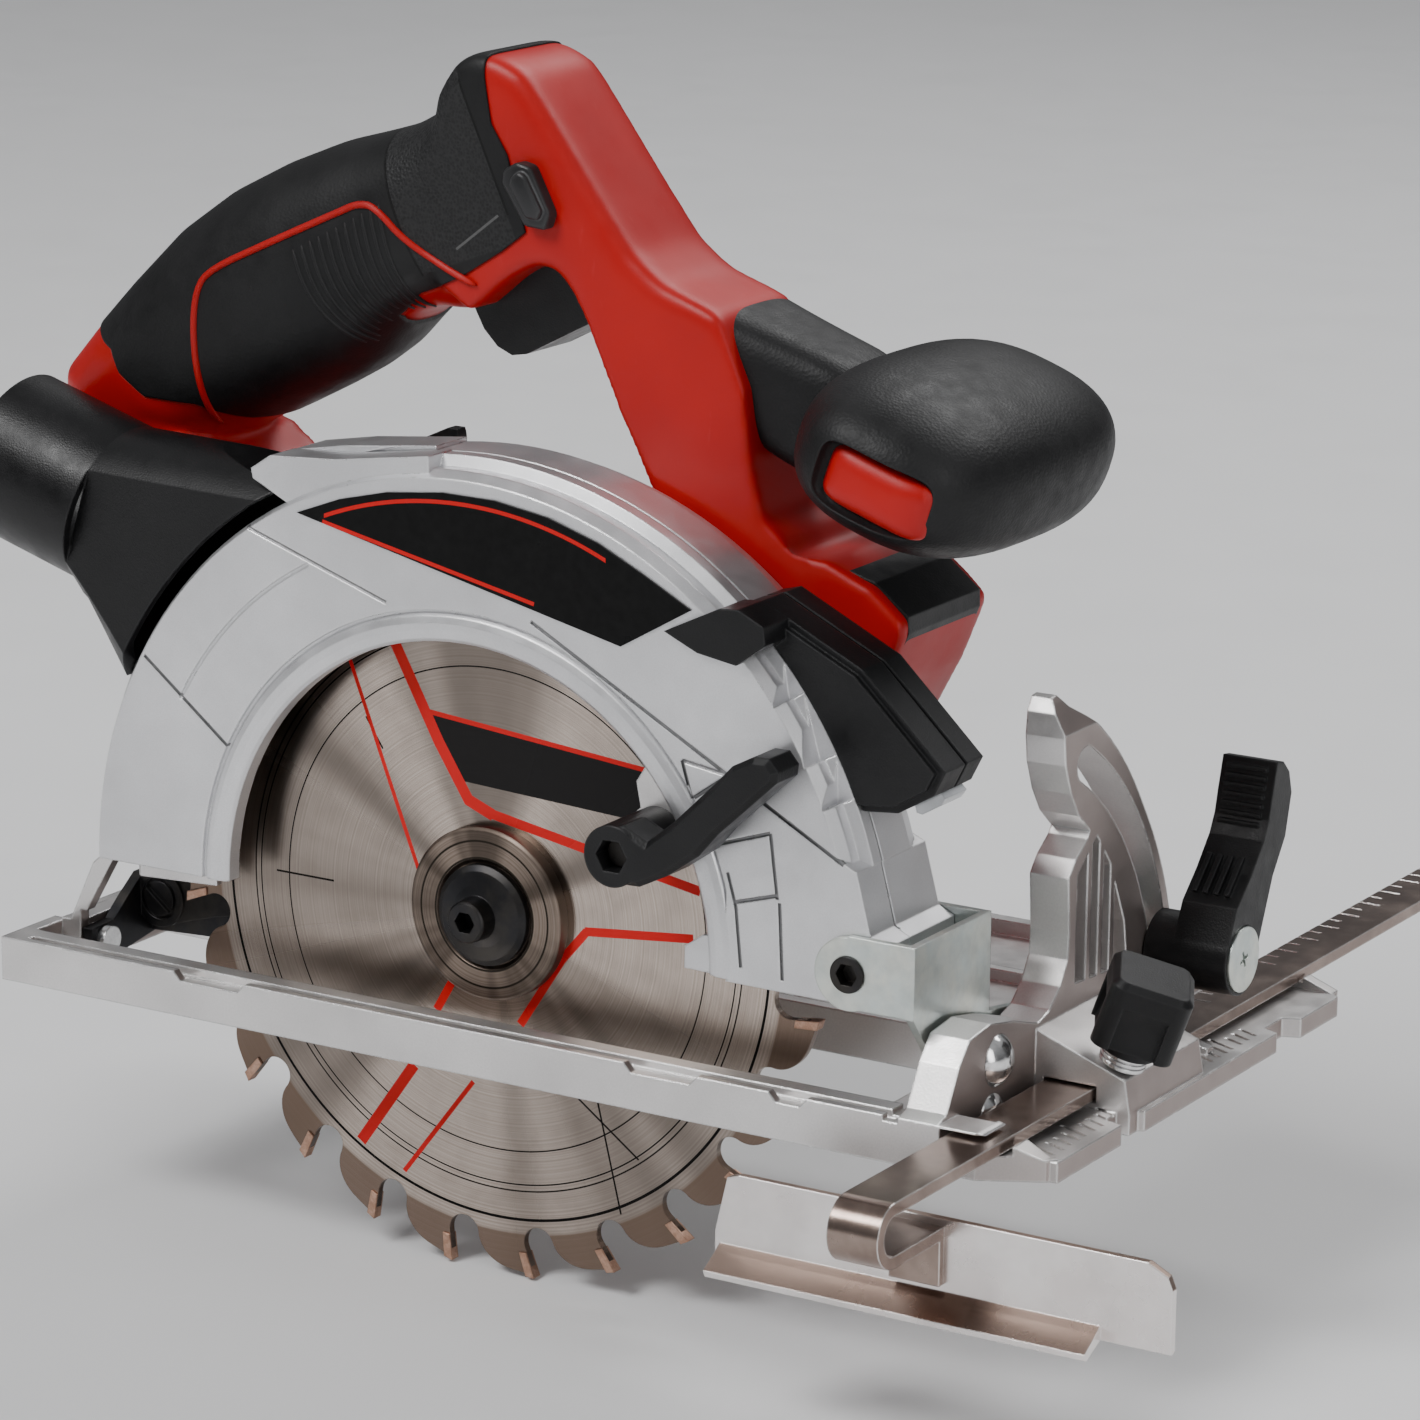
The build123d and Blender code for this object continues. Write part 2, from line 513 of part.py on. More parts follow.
def spindle():
    """Blade spindle: stepped shaft that carries blade, flanges, drive gear and two bearings."""
    return turned([(0, -3.2), (BLADE_BORE_R, -3.2), (BLADE_BORE_R, 27.4), (0, 27.4)])


def spur_outline(teeth, module, phase, thin):
    """Outline of a spur gear with straight-flanked, slightly thinned teeth."""
    pitch_r = module * teeth / 2
    points = []
    for i in range(teeth):
        mid = phase + 360 / teeth * i
        half = 90 / teeth * (1 - thin)
        for radius, part in ((pitch_r - 1.15 * module, 1.75), (pitch_r, 1.0),
                             (pitch_r + 0.85 * module, 0.42)):
            points.append((radius, mid - half * part))
        for radius, part in ((pitch_r + 0.85 * module, 0.42), (pitch_r, 1.0),
                             (pitch_r - 1.15 * module, 1.75)):
            points.append((radius, mid + half * part))
    return points


def drive_gear():
    points = [polar(r, a) for r, a in spur_outline(GEAR_TEETH, GEAR_MODULE, MOTOR_ANGLE, 0.14)]
    gear = prism_y(points, 18.0, 24.0) - cyl_y(0, BLADE_Z, BLADE_BORE_R, 17, 25)
    for i in range(4):
        x, z = polar(12.0, -20 + 90 * i)
        gear -= cyl_y(x, z, 2.7, 17, 25)
    return gear


# ---------------------------------------------------------------- motor
def motor_turned(profile):
    return turned(profile, MOTOR_X, MOTOR_Z)


def rotor_shaft():
    """Armature shaft with the pinion cut on its front end."""
    phase = MOTOR_ANGLE + 180 + 180 / PINION_TEETH
    outline = spur_outline(PINION_TEETH, GEAR_MODULE, phase, 0.14)
    points = [polar(r, a, MOTOR_X, MOTOR_Z) for r, a in outline]
    pinion = prism_y(points, 17.6, 24.6)
    return pinion + motor_turned([(0, 17.6), (2.4, 17.6), (2.4, 24.6), (2.5, 24.6), (2.5, 95.6), (0, 95.6)])


def armature():
    stack = motor_turned([(2.5, 45), (13.6, 45), (13.6, 73), (2.5, 73)])
    for i in range(8):
        x, z = polar(13.2, 45 * i, MOTOR_X, MOTOR_Z)
        stack -= cyl_y(x, z, 1.5, 44, 74)
    return stack


def armature_windings():
    front = motor_turned([(2.5, 41.6), (9.5, 41.6), (11.6, 45), (2.5, 45)])
    rear = motor_turned([(2.5, 73), (11.6, 73), (9.5, 77.0), (2.5, 77.0)])
    return group([front.solid(), rear.solid()])


def commutator():
    body = motor_turned([(2.5, 79), (7.0, 79), (7.0, 88), (2.5, 88)])
    for i in range(8):
        x, z = polar(7.0, 45 * i + 22.5, MOTOR_X, MOTOR_Z)
        body -= cyl_y(x, z, 0.4, 80.5, 89)
    return body


def cooling_fan():
    hub = motor_turned([(2.5, 36.8), (6.0, 36.8), (6.0, 40.8), (2.5, 40.8)])
    web = motor_turned([(5.9, 39.8), (17.6, 39.8), (17.6, 40.8), (5.9, 40.8)])
    blade = block(MOTOR_X + 5.5, MOTOR_X + 17.4, 36.8, 40.0, MOTOR_Z - 0.6, MOTOR_Z + 0.6)
    fan = hub + web
    for i in range(9):
        fan += Pos(MOTOR_X, 0, MOTOR_Z) * Rot(0, 40 * i, 0) * Pos(-MOTOR_X, 0, -MOTOR_Z) * blade
    return fan


def motor_can():
    return motor_turned([(8.2, 34.2), (21.0, 34.2), (21.0, 92.0), (8.2, 92.0), (8.2, 90.6), (19.4, 90.6),
                         (19.4, 35.8), (8.2, 35.8)])


def motor_magnets():
    ring = motor_turned([(14.6, 44), (19.4, 44), (19.4, 74), (14.6, 74)])
    gap = block(MOTOR_X - 3, MOTOR_X + 3, 43, 75, MOTOR_Z - 25, MOTOR_Z + 25)
    return ring - gap


def motor_brushes():
    solids = []
    for side in (-1, 1):
        x0 = MOTOR_X + side * 7.3
        x1 = MOTOR_X + side * 15.0
        solids.append(block(min(x0, x1), max(x0, x1), 80.6, 87.2, MOTOR_Z - 2.4, MOTOR_Z + 2.4).solid())
    return group(solids)


def bearing(x, z, bore, outer, y0, y1):
    return turned([(bore, y0), (outer, y0), (outer, y1), (bore, y1)], x, z)


def spindle_bearings():
    front = bearing(0, BLADE_Z, BLADE_BORE_R + 0.03, 11.0, 10.4, 16.4)
    rear = bearing(0, BLADE_Z, BLADE_BORE_R + 0.03, 8.0, 24.6, 27.6)
    return group([front.solid(), rear.solid()])


def motor_bearings():
    front = bearing(MOTOR_X, MOTOR_Z, 2.53, 8.0, 28.6, 33.6)
    rear = bearing(MOTOR_X, MOTOR_Z, 2.53, 6.5, 90.8, 95.4)
    return group([front.solid(), rear.solid()])


# ---------------------------------------------------------------- guards and gear case
def guard_zone(y0, y1):
    """The half-plane over the guard's lower edge, with the front foot."""
    return prism_y([(-130, GUARD_BOTTOM),
                    (52, GUARD_BOTTOM), (82, 25.7), (94.6, 27.0), (94.6, 37.6), (91.2, 39.4),
                    (88.0, 51.5), (130, 60), (130, 160), (-130, 160)], y0, y1)


def guard_window(y0, y1):
    """Round window over the blade, left with a small foot at its front lower end."""
    disc = cyl_y(0, BLADE_Z, GUARD_WINDOW_R, y0, y1)
    foot = prism_y([(50.2, 20.0), (50.4, 31.0), (54.4, 33.8), (60, 34), (60, 20)], y0 - 1, y1 + 1)
    return disc - foot


def port_window(y0, y1):
    """Gap in the guard's rim that the dust funnel closes."""
    return sector(140, 117.5, 154.0, y0, y1) - cyl_y(0, BLADE_Z, 84.0, y0 - 1, y1 + 1)


def guard_front_foot(y0, y1):
    return prism_y([(60, 25.8), (82, 25.7), (94.6, 27.0), (94.6, 38.0), (91.2, 39.6), (88.0, 51.5),
                    (83.6, 53.4), (60, 60)], y0, y1)


def saw_teeth_cut():
    """Stepped front edge: three notches that go from the rim down to the face radius."""
    cut = None
    for start, end in ((23.6, 28.6), (29.2, 36.9), (37.4, 41.4)):
        points = [polar(GUARD_R - 0.3, start), polar(GUARD_RIM_R + 4, start), polar(GUARD_RIM_R + 4, end),
                  polar(GUARD_RIM_R - 0.4, end)]
        notch = prism_y(points, GUARD_FACE - 1, -6.0)
        cut = notch if cut is None else cut + notch
    return cut


GUARD_LINES = (((16.0, 89.6), (85.2, 52.5)), ((50.0, 67.4), (52.2, 60.2)), ((52.2, 60.2), (60.2, 66.0)),
               ((50.0, 67.4), (60.2, 66.0)), ((57.6, 52.2), (69.4, 56.2)), ((69.4, 56.2), (71.1, 43.6)),
               ((60.2, 47.2), (62.1, 40.7)), ((61.6, 41.6), (71.2, 44.4)), ((62.1, 40.7), (63.3, 29.0)),
               ((71.6, 43.0), (72.4, 28.0)), ((-60.6, 103.2), (-17.3, 88.9)),
               ((-75.8, 70.4), (-55.6, 54.7)))


def engraved(start, end):
    """Thin groove in the guard's face from one (x, z) point to another."""
    (x0, z0), (x1, z1) = start, end
    length = math.hypot(x1 - x0, z1 - z0)
    turn = -math.degrees(math.atan2(z1 - z0, x1 - x0))
    return Pos((x0 + x1) / 2, GUARD_FACE, (z0 + z1) / 2) * Rot(0, turn, 0) * Box(length, 0.9, 0.7)


def upper_guard_outer():
    """Right half of the upper guard: face, bevelled lip round the window and stepped rim."""
    face = turned([(40, GUARD_FACE), (GUARD_R, GUARD_FACE), (GUARD_R + 1.4, GUARD_FACE + 2.4),
                   (GUARD_R + 1.4, -7.0), (GUARD_RIM_R, -6.0), (GUARD_RIM_R, GUARD_SEAM),
                   (86.2, GUARD_SEAM), (86.2, GUARD_FACE + 2.2), (62.6, GUARD_FACE + 2.2),
                   (61.0, GUARD_FACE + 4.0),
                   (40, GUARD_FACE + 4.0)])
    lip = turned([(40, GUARD_FACE - 1), (62.3, GUARD_FACE - 1), (62.3, GUARD_FACE + 0.9),
                  (40, GUARD_FACE + 0.9)])
    bead = turned([(GUARD_WINDOW_R, GUARD_FACE + 1.0), (GUARD_WINDOW_R, GUARD_FACE + 0.6),
                   (GUARD_WINDOW_R + 0.7, GUARD_FACE), (GUARD_WINDOW_R + 2.2, GUARD_FACE - 0.4),
                   (GUARD_WINDOW_R + 3.8, GUARD_FACE - 0.4), (GUARD_WINDOW_R + 5.1, GUARD_FACE),
                   (GUARD_WINDOW_R + 5.6, GUARD_FACE + 0.6), (GUARD_WINDOW_R + 5.6, GUARD_FACE + 1.0)])
    guard = face - lip + bead
    guard &= guard_zone(-20, 20)
    guard -= guard_window(-20, 0)
    foot = guard_front_foot(GUARD_FACE, GUARD_SEAM) - guard_front_foot(GUARD_FACE + 2.2, 0).intersect(
        cyl_y(0, BLADE_Z, 86.2, -10, 1))
    guard += foot - guard_window(-20, 0)
    flange = prism_y([(-38.2, 104.0), (-49.4, 109.4), (-49.8, 111.4), (-45.2, 114.4), (-30.0, 115.4),
                      (-8.0, 118.6), (-8.0, 112.0), (-30.0, 107.5)], GUARD_FACE + 1.0, GUARD_SEAM)
    flange -= cyl_y(0, BLADE_Z, 86.2, -30, 30)
    guard = guard + flange
    guard -= saw_teeth_cut()
    guard -= port_window(-10.5, 20)
    for start, end in GUARD_LINES:
        guard -= engraved(start, end)
    band = cyl_y(0, BLADE_Z, 76.35, -13, GUARD_FACE + 0.45) - cyl_y(0, BLADE_Z, 75.65, -14, -10)
    guard -= band & sector(120, 118, 152, -14, -10)
    guard -= cyl_y(DEPTH_PIN_X, DEPTH_PIN_Z, 3.55, -30, 30)
    return guard.solids().sort_by(SortBy.VOLUME)[-1]


def gear_case_outline(grow, y0, y1):
    body = cyl_y(0, BLADE_Z, 20.6 + grow, y0, y1) + cyl_y(MOTOR_X, MOTOR_Z, 11.0 + grow, y0, y1)
    angle = math.radians(MOTOR_ANGLE - 90)
    c, s = math.cos(angle), math.sin(angle)
    small, large = 11.0 + grow, 20.6 + grow
    sides = prism_y([(large * c, BLADE_Z + large * s), (MOTOR_X + small * c, MOTOR_Z + small * s),
                     (MOTOR_X - small * c, MOTOR_Z - small * s), (-large * c, BLADE_Z - large * s)], y0, y1)
    return body + sides


def upper_guard_inner():
    """Left half of the guard cast in one with the gear case and the lower guard's bearing boss."""
    shell = turned([(20, 9.6), (86.2, 9.6), (86.2, GUARD_SEAM), (GUARD_RIM_R, GUARD_SEAM),
                    (GUARD_RIM_R, 8.0), (90.0, GUARD_BACK - 1.5), (88.0, GUARD_BACK), (20, GUARD_BACK)])
    shell &= guard_zone(-20, 20)
    hub = cyl_y(0, BLADE_Z, 24.0, 9.6, GUARD_BACK)
    boss = turned([(18.4, 5.0), (20.4, 5.0), (20.4, 9.7), (18.4, 9.7)])
    case = gear_case_outline(2.2, GUARD_BACK - 0.2, 28.0) - gear_case_outline(0, 16.6, 29.0)
    gap = turned([(89.4, -3.2), (93.0, -3.2), (93.0, -2.4), (89.4, -2.4)])
    rim = prism_y([(-53.0, 110.0), (-58.0, 108.2), (-57.4, 110.4), (-53.2, 112.8), (-33.0, 116.4),
                   (-12.0, 118.7), (-12.0, 112.0), (-30.0, 108.0), (-44.0, 104.4)], -2.9, 8.0)
    rim -= cyl_y(0, BLADE_Z, 86.2, -30, 30)
    foot = guard_front_foot(GUARD_SEAM, GUARD_BACK) - cyl_y(0, BLADE_Z, 86.2, -30, 9.6)
    guard = shell + hub + boss + case + rim + foot - gap
    guard -= cyl_y(0, BLADE_Z, 11.02, 10.4, 16.8)
    guard -= cyl_y(0, BLADE_Z, 8.0, 4.0, 12.0)
    guard -= port_window(-20, 9.6)
    guard -= cyl_y(DEPTH_PIN_X, DEPTH_PIN_Z, 3.55, -30, 30)
    return guard.solids().sort_by(SortBy.VOLUME)[-1]


def gear_case_cover():
    plate = gear_case_outline(2.2, 28.0, 30.0)
    pocket = cyl_y(MOTOR_X, MOTOR_Z, 10.0, 29.9, 34.0)
    plate += pocket
    plate -= cyl_y(MOTOR_X, MOTOR_Z, 8.02, 28.6, 35)
    plate -= cyl_y(MOTOR_X, MOTOR_Z, 3.2, 26, 30)
    rear_seat = cyl_y(0, BLADE_Z, 10.0, 24.6, 28.1) - cyl_y(0, BLADE_Z, 8.02, 24.0, 27.8)
    plate += rear_seat
    x, z = polar(12.0, -20)
    plate -= cyl_y(x, z, 2.2, 20, 32)
    return plate


def gear_case_screws():
    solids = []
    for angle in (-42, 12, 172, 218):
        x, z = polar(20.4, angle)
        head = cyl_y(x, z, 2.2, 30.0, 31.6)
        solids.append(head.solid())
    return group(solids)


def guard_label():
    """Thin lens-shaped name plate, left blank."""
    outline = [(-38.0, 104.2), (-28.0, 108.0), (-17.0, 110.7), (-4.0, 112.2), (8.0, 112.1), (20.0, 110.3),
               (31.0, 106.9), (41.0, 102.2), (51.8, 96.6), (36.4, 87.6)]
    return prism_y(outline, GUARD_FACE - 0.4, GUARD_FACE)


def guard_screws():
    """Screws that hold the two guard halves together, heads on the left side."""
    solids = []
    for angle in (18, 97, 168):
        x, z = polar(80.0, angle)
        solids.append(cyl_y(x, z, 3.0, GUARD_BACK, GUARD_BACK + 2.0).solid())
    return group(solids)


def front_shroud():
    """Black chip and lamp shroud that rides on the stepped front of the guard."""
    outline = [(55.0, 96.4), (62.8, 98.5), (84.4, 88.2), (91.0, 82.0), (102.4, 71.2), (100.0, 66.4),
               (92.6, 62.0), (85.5, 61.3), (78.4, 62.9), (70.0, 78.0)]
    body = prism_y(outline, -4.8, 9.5) + grown_y(outline, -1.4, -6.2, -4.8)
    body -= prism_y(outline, 2.6, 3.6) - grown_y(outline, -0.9, 2.0, 4.0)
    tab = prism_y([(46.8, 92.3), (58.9, 98.2), (62.8, 98.5), (68.4, 95.8), (68.8, 92.4), (62.6, 87.8),
                   (54.1, 89.1)], GUARD_FACE - 1.8, -4.8)
    shroud = body + tab
    shroud -= cyl_y(0, BLADE_Z, GUARD_RIM_R + 0.15, GUARD_FACE, GUARD_BACK + 0.2)
    return largest(shroud)


def lamp_lens():
    """Small clear lens of the work light at the shroud's lower front."""
    lens = prism_y([(93.4, 62.6), (98.8, 65.8), (99.9, 64.8), (98.8, 63.2), (95.0, 61.0), (93.8, 61.2)],
                   0.0, 8.0)
    return lens - front_shroud()


FUNNEL_SIDE = [(-100.0, 121.0), (-68.7, 113.2), (-40.6, 107.0), (-38.0, 96.0), (-60.0, 52.0), (-82.0, 60.0),
               (-84.4, 65.0), (-90.2, 80.0), (-103.0, 83.6), (-112.0, 100.0)]
FUNNEL_BORE = [(-99.0, 118.6), (-69.0, 111.1), (-42.4, 105.0), (-38.0, 96.0), (-60.0, 52.0), (-80.4, 60.6),
               (-82.4, 66.0), (-88.6, 81.8), (-102.0, 85.7), (-110.0, 100.0)]


def dust_port():
    """Straight spigot with a hollow funnel that closes the window in the guard's rim."""
    tilt = math.radians(PORT_TILT)
    ux, uz = math.cos(tilt), -math.sin(tilt)
    axis = Vector(ux, 0, uz)
    start = Vector(*PORT_END)
    neck = start + axis * PORT_LENGTH
    plane = Plane(origin=(start.X, start.Y, start.Z), x_dir=(0, 1, 0), z_dir=(ux, 0, uz))
    tube = extrude(plane * Circle(PORT_R), amount=PORT_LENGTH)
    bore = extrude(plane * Circle(PORT_BORE_R), amount=PORT_LENGTH)
    mouth_angle = 136.0
    mx, mz = polar(GUARD_RIM_R - 6.0, mouth_angle)
    a = math.radians(mouth_angle)
    mouth = Plane(origin=(mx, 0.8, mz), x_dir=(0, 1, 0), z_dir=(-math.cos(a), 0, -math.sin(a)))
    neck_plane = Plane(origin=(neck.X, neck.Y, neck.Z), x_dir=(0, 1, 0), z_dir=(ux, 0, uz))
    outer = loft([neck_plane * Circle(PORT_R), mouth * Ellipse(19.0, 35.0)])
    outer &= prism_y(FUNNEL_SIDE, GUARD_FACE, 13.8)
    inner = loft([neck_plane * Circle(PORT_BORE_R), mouth * Ellipse(16.0, 31.6)])
    inner &= prism_y(FUNNEL_BORE, GUARD_FACE + 2, 11.8)
    port = tube + outer - bore - inner
    port -= cyl_y(0, BLADE_Z, GUARD_RIM_R + 0.15, -30, 30)
    return port.solids().sort_by(SortBy.VOLUME)[-1]


# ---------------------------------------------------------------- lower guard
LOWER_R = 82.0
LOWER_START = 28.0
LOWER_END = 183.0


def lower_guard():
    """Swinging guard: a channel round the blade, a hub disc on the left and a lug for its lever."""
    channel = turned([(62.0, -7.6),
                      (LOWER_R - 1, -7.6), (LOWER_R, -6.8), (LOWER_R, 7.0), (LOWER_R - 1, 7.8),
                      (62.0, 7.8), (62.0, 6.2), (79.8, 6.2), (79.8, -6.0), (62.0, -6.0)])
    channel &= sector(140, LOWER_START, LOWER_END, -9, 9, steps=12)
    web = turned([(20.6, 6.2), (63.0, 6.2), (63.0, 7.8), (20.6, 7.8)])
    web &= sector(140, LOWER_START, LOWER_END, -9, 9, steps=12) + cyl_y(0, BLADE_Z, 27.0, 6, 8)
    hub = turned([(20.45, 5.4), (25.0, 5.4), (25.0, 9.3), (20.45, 9.3)])
    hx, hz = polar(47.9, 29.0)
    lug = cyl_y(hx, hz, 6.4, -7.6, -6.0) + prism_y([polar(44, 24), polar(66, LOWER_START), polar(66, 46),
                                                   polar(50, 42)], -7.6, -6.0)
    guard = channel + web + hub + lug
    guard -= cyl_y(hx, hz, 2.0, -10, -5)
    return guard


def guard_lever():
    """Hand lever of the lower guard: a hub standing off the lug and a bent arm."""
    hx, hz = polar(47.9, 29.0)
    hub = cyl_y(hx, hz, 6.0, -24.0, -7.6)
    outline = [(36.6, 47.6), (38.9, 44.7), (47.6, 45.0), (53.5, 48.0), (60.4, 52.9), (64.6, 57.8),
               (77.1, 69.5),
               (77.4, 71.6), (75.4, 73.9), (72.3, 73.9), (67.6, 71.4), (65.0, 68.6), (55.0, 58.7),
               (49.2, 54.0),
               (44.0, 56.4), (38.0, 54.6)]
    arm = prism_y(outline, -24.0, -15.4)
    arm = chamfer(arm.faces().sort_by(Axis.Y)[0].edges(), 1.1)
    lever = hub + arm
    lever -= hex_prism_y(hx, hz, 6.0, -25.0, -19.0)
    lever -= cyl_y(hx, hz, 2.0, -26, -7)
    return lever


def guard_lever_screw():
    hx, hz = polar(47.9, 29.0)
    return cyl_y(hx, hz, 1.98, -19.0, -6.0) + cyl_y(hx, hz, 2.8, -20.6, -19.0)


# ---------------------------------------------------------------- handle and housing
OUTER = [(-123.0, 113.6), (-122.0, 120.4), (-113.0, 128.2), (-97.7, 144.1), (-89.0, 152.1), (-78.2, 159.2),
         (-66.7, 164.9), (-47.0, 172.0), (-34.6, 176.2), (-27.6, 180.2), (-23.4, 185.0), (-20.2, 189.8),
         (-15.8, 192.0), (-11.0, 191.8), (-4.6, 189.2), (0.6, 182.6), (12.2, 167.2), (20.6, 156.4),
         (27.0, 151.4), (40.0, 146.8), (46.0, 133.0), (50.0, 117.0), (54.4, 105.4), (56.4, 102.0),
         (64.2, 102.3),
         (73.9, 98.8), (81.2, 93.2), (81.3, 89.9), (76.8, 78.8), (70.0, 66.0), (48.0, 46.0), (22.0, 28.0),
         (0.0, 20.4), (-20.0, 21.0), (-33.0, 34.0), (-42.0, 62.0), (-60.0, 86.0), (-92.0, 99.0), (-99.8,
                                                                                                  102.4)]
HAND_HOLE = [(-80.6, 108.0), (-75.3, 111.3), (-66.3, 115.6), (-52.9, 122.4), (-43.4, 129.0), (-39.0, 133.9),
             (-36.0, 137.6), (-31.0, 139.6), (-24.0, 139.2), (-16.6, 141.4), (-8.0, 148.6), (-2.4, 151.8),
             (2.0, 152.0), (6.4, 148.6), (10.2, 142.6), (14.0, 134.8), (18.2, 125.4), (22.0, 118.6),
             (26.0, 110.6), (28.6, 104.0), (28.0, 100.4), (24.0, 98.5), (-68.0, 98.5), (-77.0, 102.6)]
GRIP_ZONE = [(-113.5, 131.0), (-105.2, 126.4), (-102.5, 125.4), (-99.9, 120.9), (-93.6, 116.8),
             (-81.9, 116.3),
             (-77.7, 114.7), (-73.6, 113.0), (-68.3, 112.7), (-60.0, 106.0), (-40.0, 120.0), (-26.0, 138.0),
             (-18.0, 149.0), (-8.5, 155.0), (-2.6, 160.0), (-7.2, 173.1), (-11.0, 179.0), (-13.5, 191.0),
             (-22.0, 210.0), (-60.0, 190.0), (-140.0, 150.0)]
TRIGGER = [(-21.0, 141.2), (-18.6, 136.8), (-15.4, 133.6), (-12.0, 132.2), (-8.6, 132.8), (6.0, 140.4),
           (3.4, 146.4), (-1.4, 153.6), (-8.0, 159.0), (-17.0, 151.0)]
TRIGGER_PULL = (-0.5, 0.0, 0.866)
TRIGGER_TRAVEL = 6.0
BUTTON = [(-9.0, 169.4), (-5.2, 172.4), (4.4, 161.4), (0.8, 158.6), (-3.4, 159.2)]
VENT_CAP = [(68.0, 100.6), (74.0, 98.9), (81.2, 93.2), (81.3, 89.9), (77.0, 79.4), (74.6, 82.0),
            (77.6, 90.0), (73.0, 95.0), (67.0, 97.2)]


def port_relief():
    """Room for the dust spigot that runs past the handle's rear foot."""
    tilt = math.radians(PORT_TILT)
    start = Vector(*PORT_END) - Vector(math.cos(tilt), 0, -math.sin(tilt)) * 10
    plane = Plane(origin=(start.X, start.Y, start.Z), x_dir=(0, 1, 0),
                  z_dir=(math.cos(tilt), 0, -math.sin(tilt)))
    return extrude(plane * Circle(PORT_R + 0.6), amount=PORT_LENGTH + 50)


def grip_core():
    return grown_y(OUTER, -GRIP_SKIN, SHELL_R_Y, SHELL_L_Y) - grown_y(HAND_HOLE, GRIP_SKIN, 10, 60)


def handle_body():
    """Full red body before it is hollowed: D handle, column and lower housing."""
    body = prism_y(OUTER, SHELL_R_Y, SHELL_L_Y) - prism_y(HAND_HOLE, 10, 60)
    zone = prism_y(GRIP_ZONE, 0, 70)
    return (body - zone) + (grip_core() & zone)


def handle_cavity():
    inset = GRIP_SKIN + SHELL_WALL
    return (grown_y(OUTER, -inset, SHELL_R_Y + SHELL_WALL, SHELL_L_Y - SHELL_WALL)
            - grown_y(HAND_HOLE, inset, 10, 60))


def pulled(shape, distance):
    return Pos(*[distance * c for c in TRIGGER_PULL]) * shape


def shell_cutters():
    """Everything that passes through the shells, with its clearance."""
    cut = gear_case_outline(2.6, 10, 32.4)
    cut += cyl_y(MOTOR_X, MOTOR_Z, 21.4, 28, 60)
    cut += cyl_y(MOTOR_X, MOTOR_Z, 12.6, 28, 36)
    cut += block(-62.0, -20.0, 10.0, 19.4, 10.0, 99.5)
    for step in range(4):
        cut += pulled(grown_y(TRIGGER, 0.5, 23.5, 40.5), TRIGGER_TRAVEL * step / 3)
    cut += grown_y(BUTTON, 0.3, 5, 60)
    cut += prism_y(VENT_CAP, 17.9, 46.1)
    cut += cyl_y(*polar(12.0, -20), 6.0, 28, 60)
    cut += port_relief()
    return cut


def housing_shell(y0, y1):
    half = block(-140, 100, y0, y1, 0, 220)
    return (handle_body() - handle_cavity() - shell_cutters()) & half


def grip_cover(y0, y1):
    """Rubber overmould of the rear grip, one piece on each shell."""
    y_lo = SHELL_R_Y - GRIP_SKIN
    y_hi = SHELL_L_Y + GRIP_SKIN
    sleeve = prism_y(OUTER, y_lo, y_hi) - prism_y(HAND_HOLE, 0, 70)
    zone = prism_y(GRIP_ZONE, 0, 70)
    sleeve = (sleeve & zone) - grip_core()
    sleeve -= grown_y(BUTTON, 0.3, 5, 60)
    for step in range(4):
        sleeve -= pulled(grown_y(TRIGGER, 0.5, 23.5, 40.5), TRIGGER_TRAVEL * step / 3)
    sleeve -= port_relief()
    return largest(sleeve & block(-140, 100, y0, y1, 0, 220))


def trigger():
    return prism_y(TRIGGER, 24.0, 40.0)


def lock_off_button():
    return prism_y(BUTTON, 11.4, 52.6)


def front_neck():
    """Rubber-covered neck between the column and the front handle."""
    outline = [(40.9, 148.4), (68.0, 139.6), (71.0, 117.0), (50.2, 117.2), (46.2, 133.0)]
    neck = prism_y(outline, 18.0, 46.0)
    return neck - front_knob_form(0.0)


def front_knob_form(grow):
    """Wide rounded palm knob, tilted forward."""
    base = Sphere(1.0)
    knob = scale(base, by=(26.5 + grow, 39.0 + grow, 18.5 + grow))
    return Pos(83.2, 32.0, 123.4) * Rot(0, 18.0, 0) * knob


def front_knob():
    return front_knob_form(0.0)


def front_vent_cap():
    return prism_y(VENT_CAP, 18.0, 46.0)


def motor_barrel():
    """Plastic barrel round the motor with cooling slots."""
    barrel = motor_turned([(21.6, SHELL_L_Y), (27.0, SHELL_L_Y), (27.0, 93.0), (21.6, 93.0)])
    for i in range(9):
        slot = block(MOTOR_X + 20, MOTOR_X + 30, 78.0, 88.0, MOTOR_Z - 1.1, MOTOR_Z + 1.1)
        turn = Pos(MOTOR_X, 0, MOTOR_Z) * Rot(0, 20 + 17.5 * i, 0) * Pos(-MOTOR_X, 0, -MOTOR_Z)
        barrel -= turn * slot
    return barrel


def motor_end_cap():
    cap = motor_turned([(0, 96.4),
                        (6.6, 96.4), (6.6, 93.0), (27.0, 93.0), (27.0, 99.0), (23.0, 103.0), (0, 103.0)])
    cap -= motor_turned([(9.0, 92.0), (21.0, 92.0), (21.0, 99.0), (9.0, 99.0)])
    for i in range(8):
        slot = block(MOTOR_X + 9.5, MOTOR_X + 20, 98.0, 104.0, MOTOR_Z - 1.0, MOTOR_Z + 1.0)
        turn = Pos(MOTOR_X, 0, MOTOR_Z) * Rot(0, 45 * i, 0) * Pos(-MOTOR_X, 0, -MOTOR_Z)
        cap -= turn * slot
    return cap


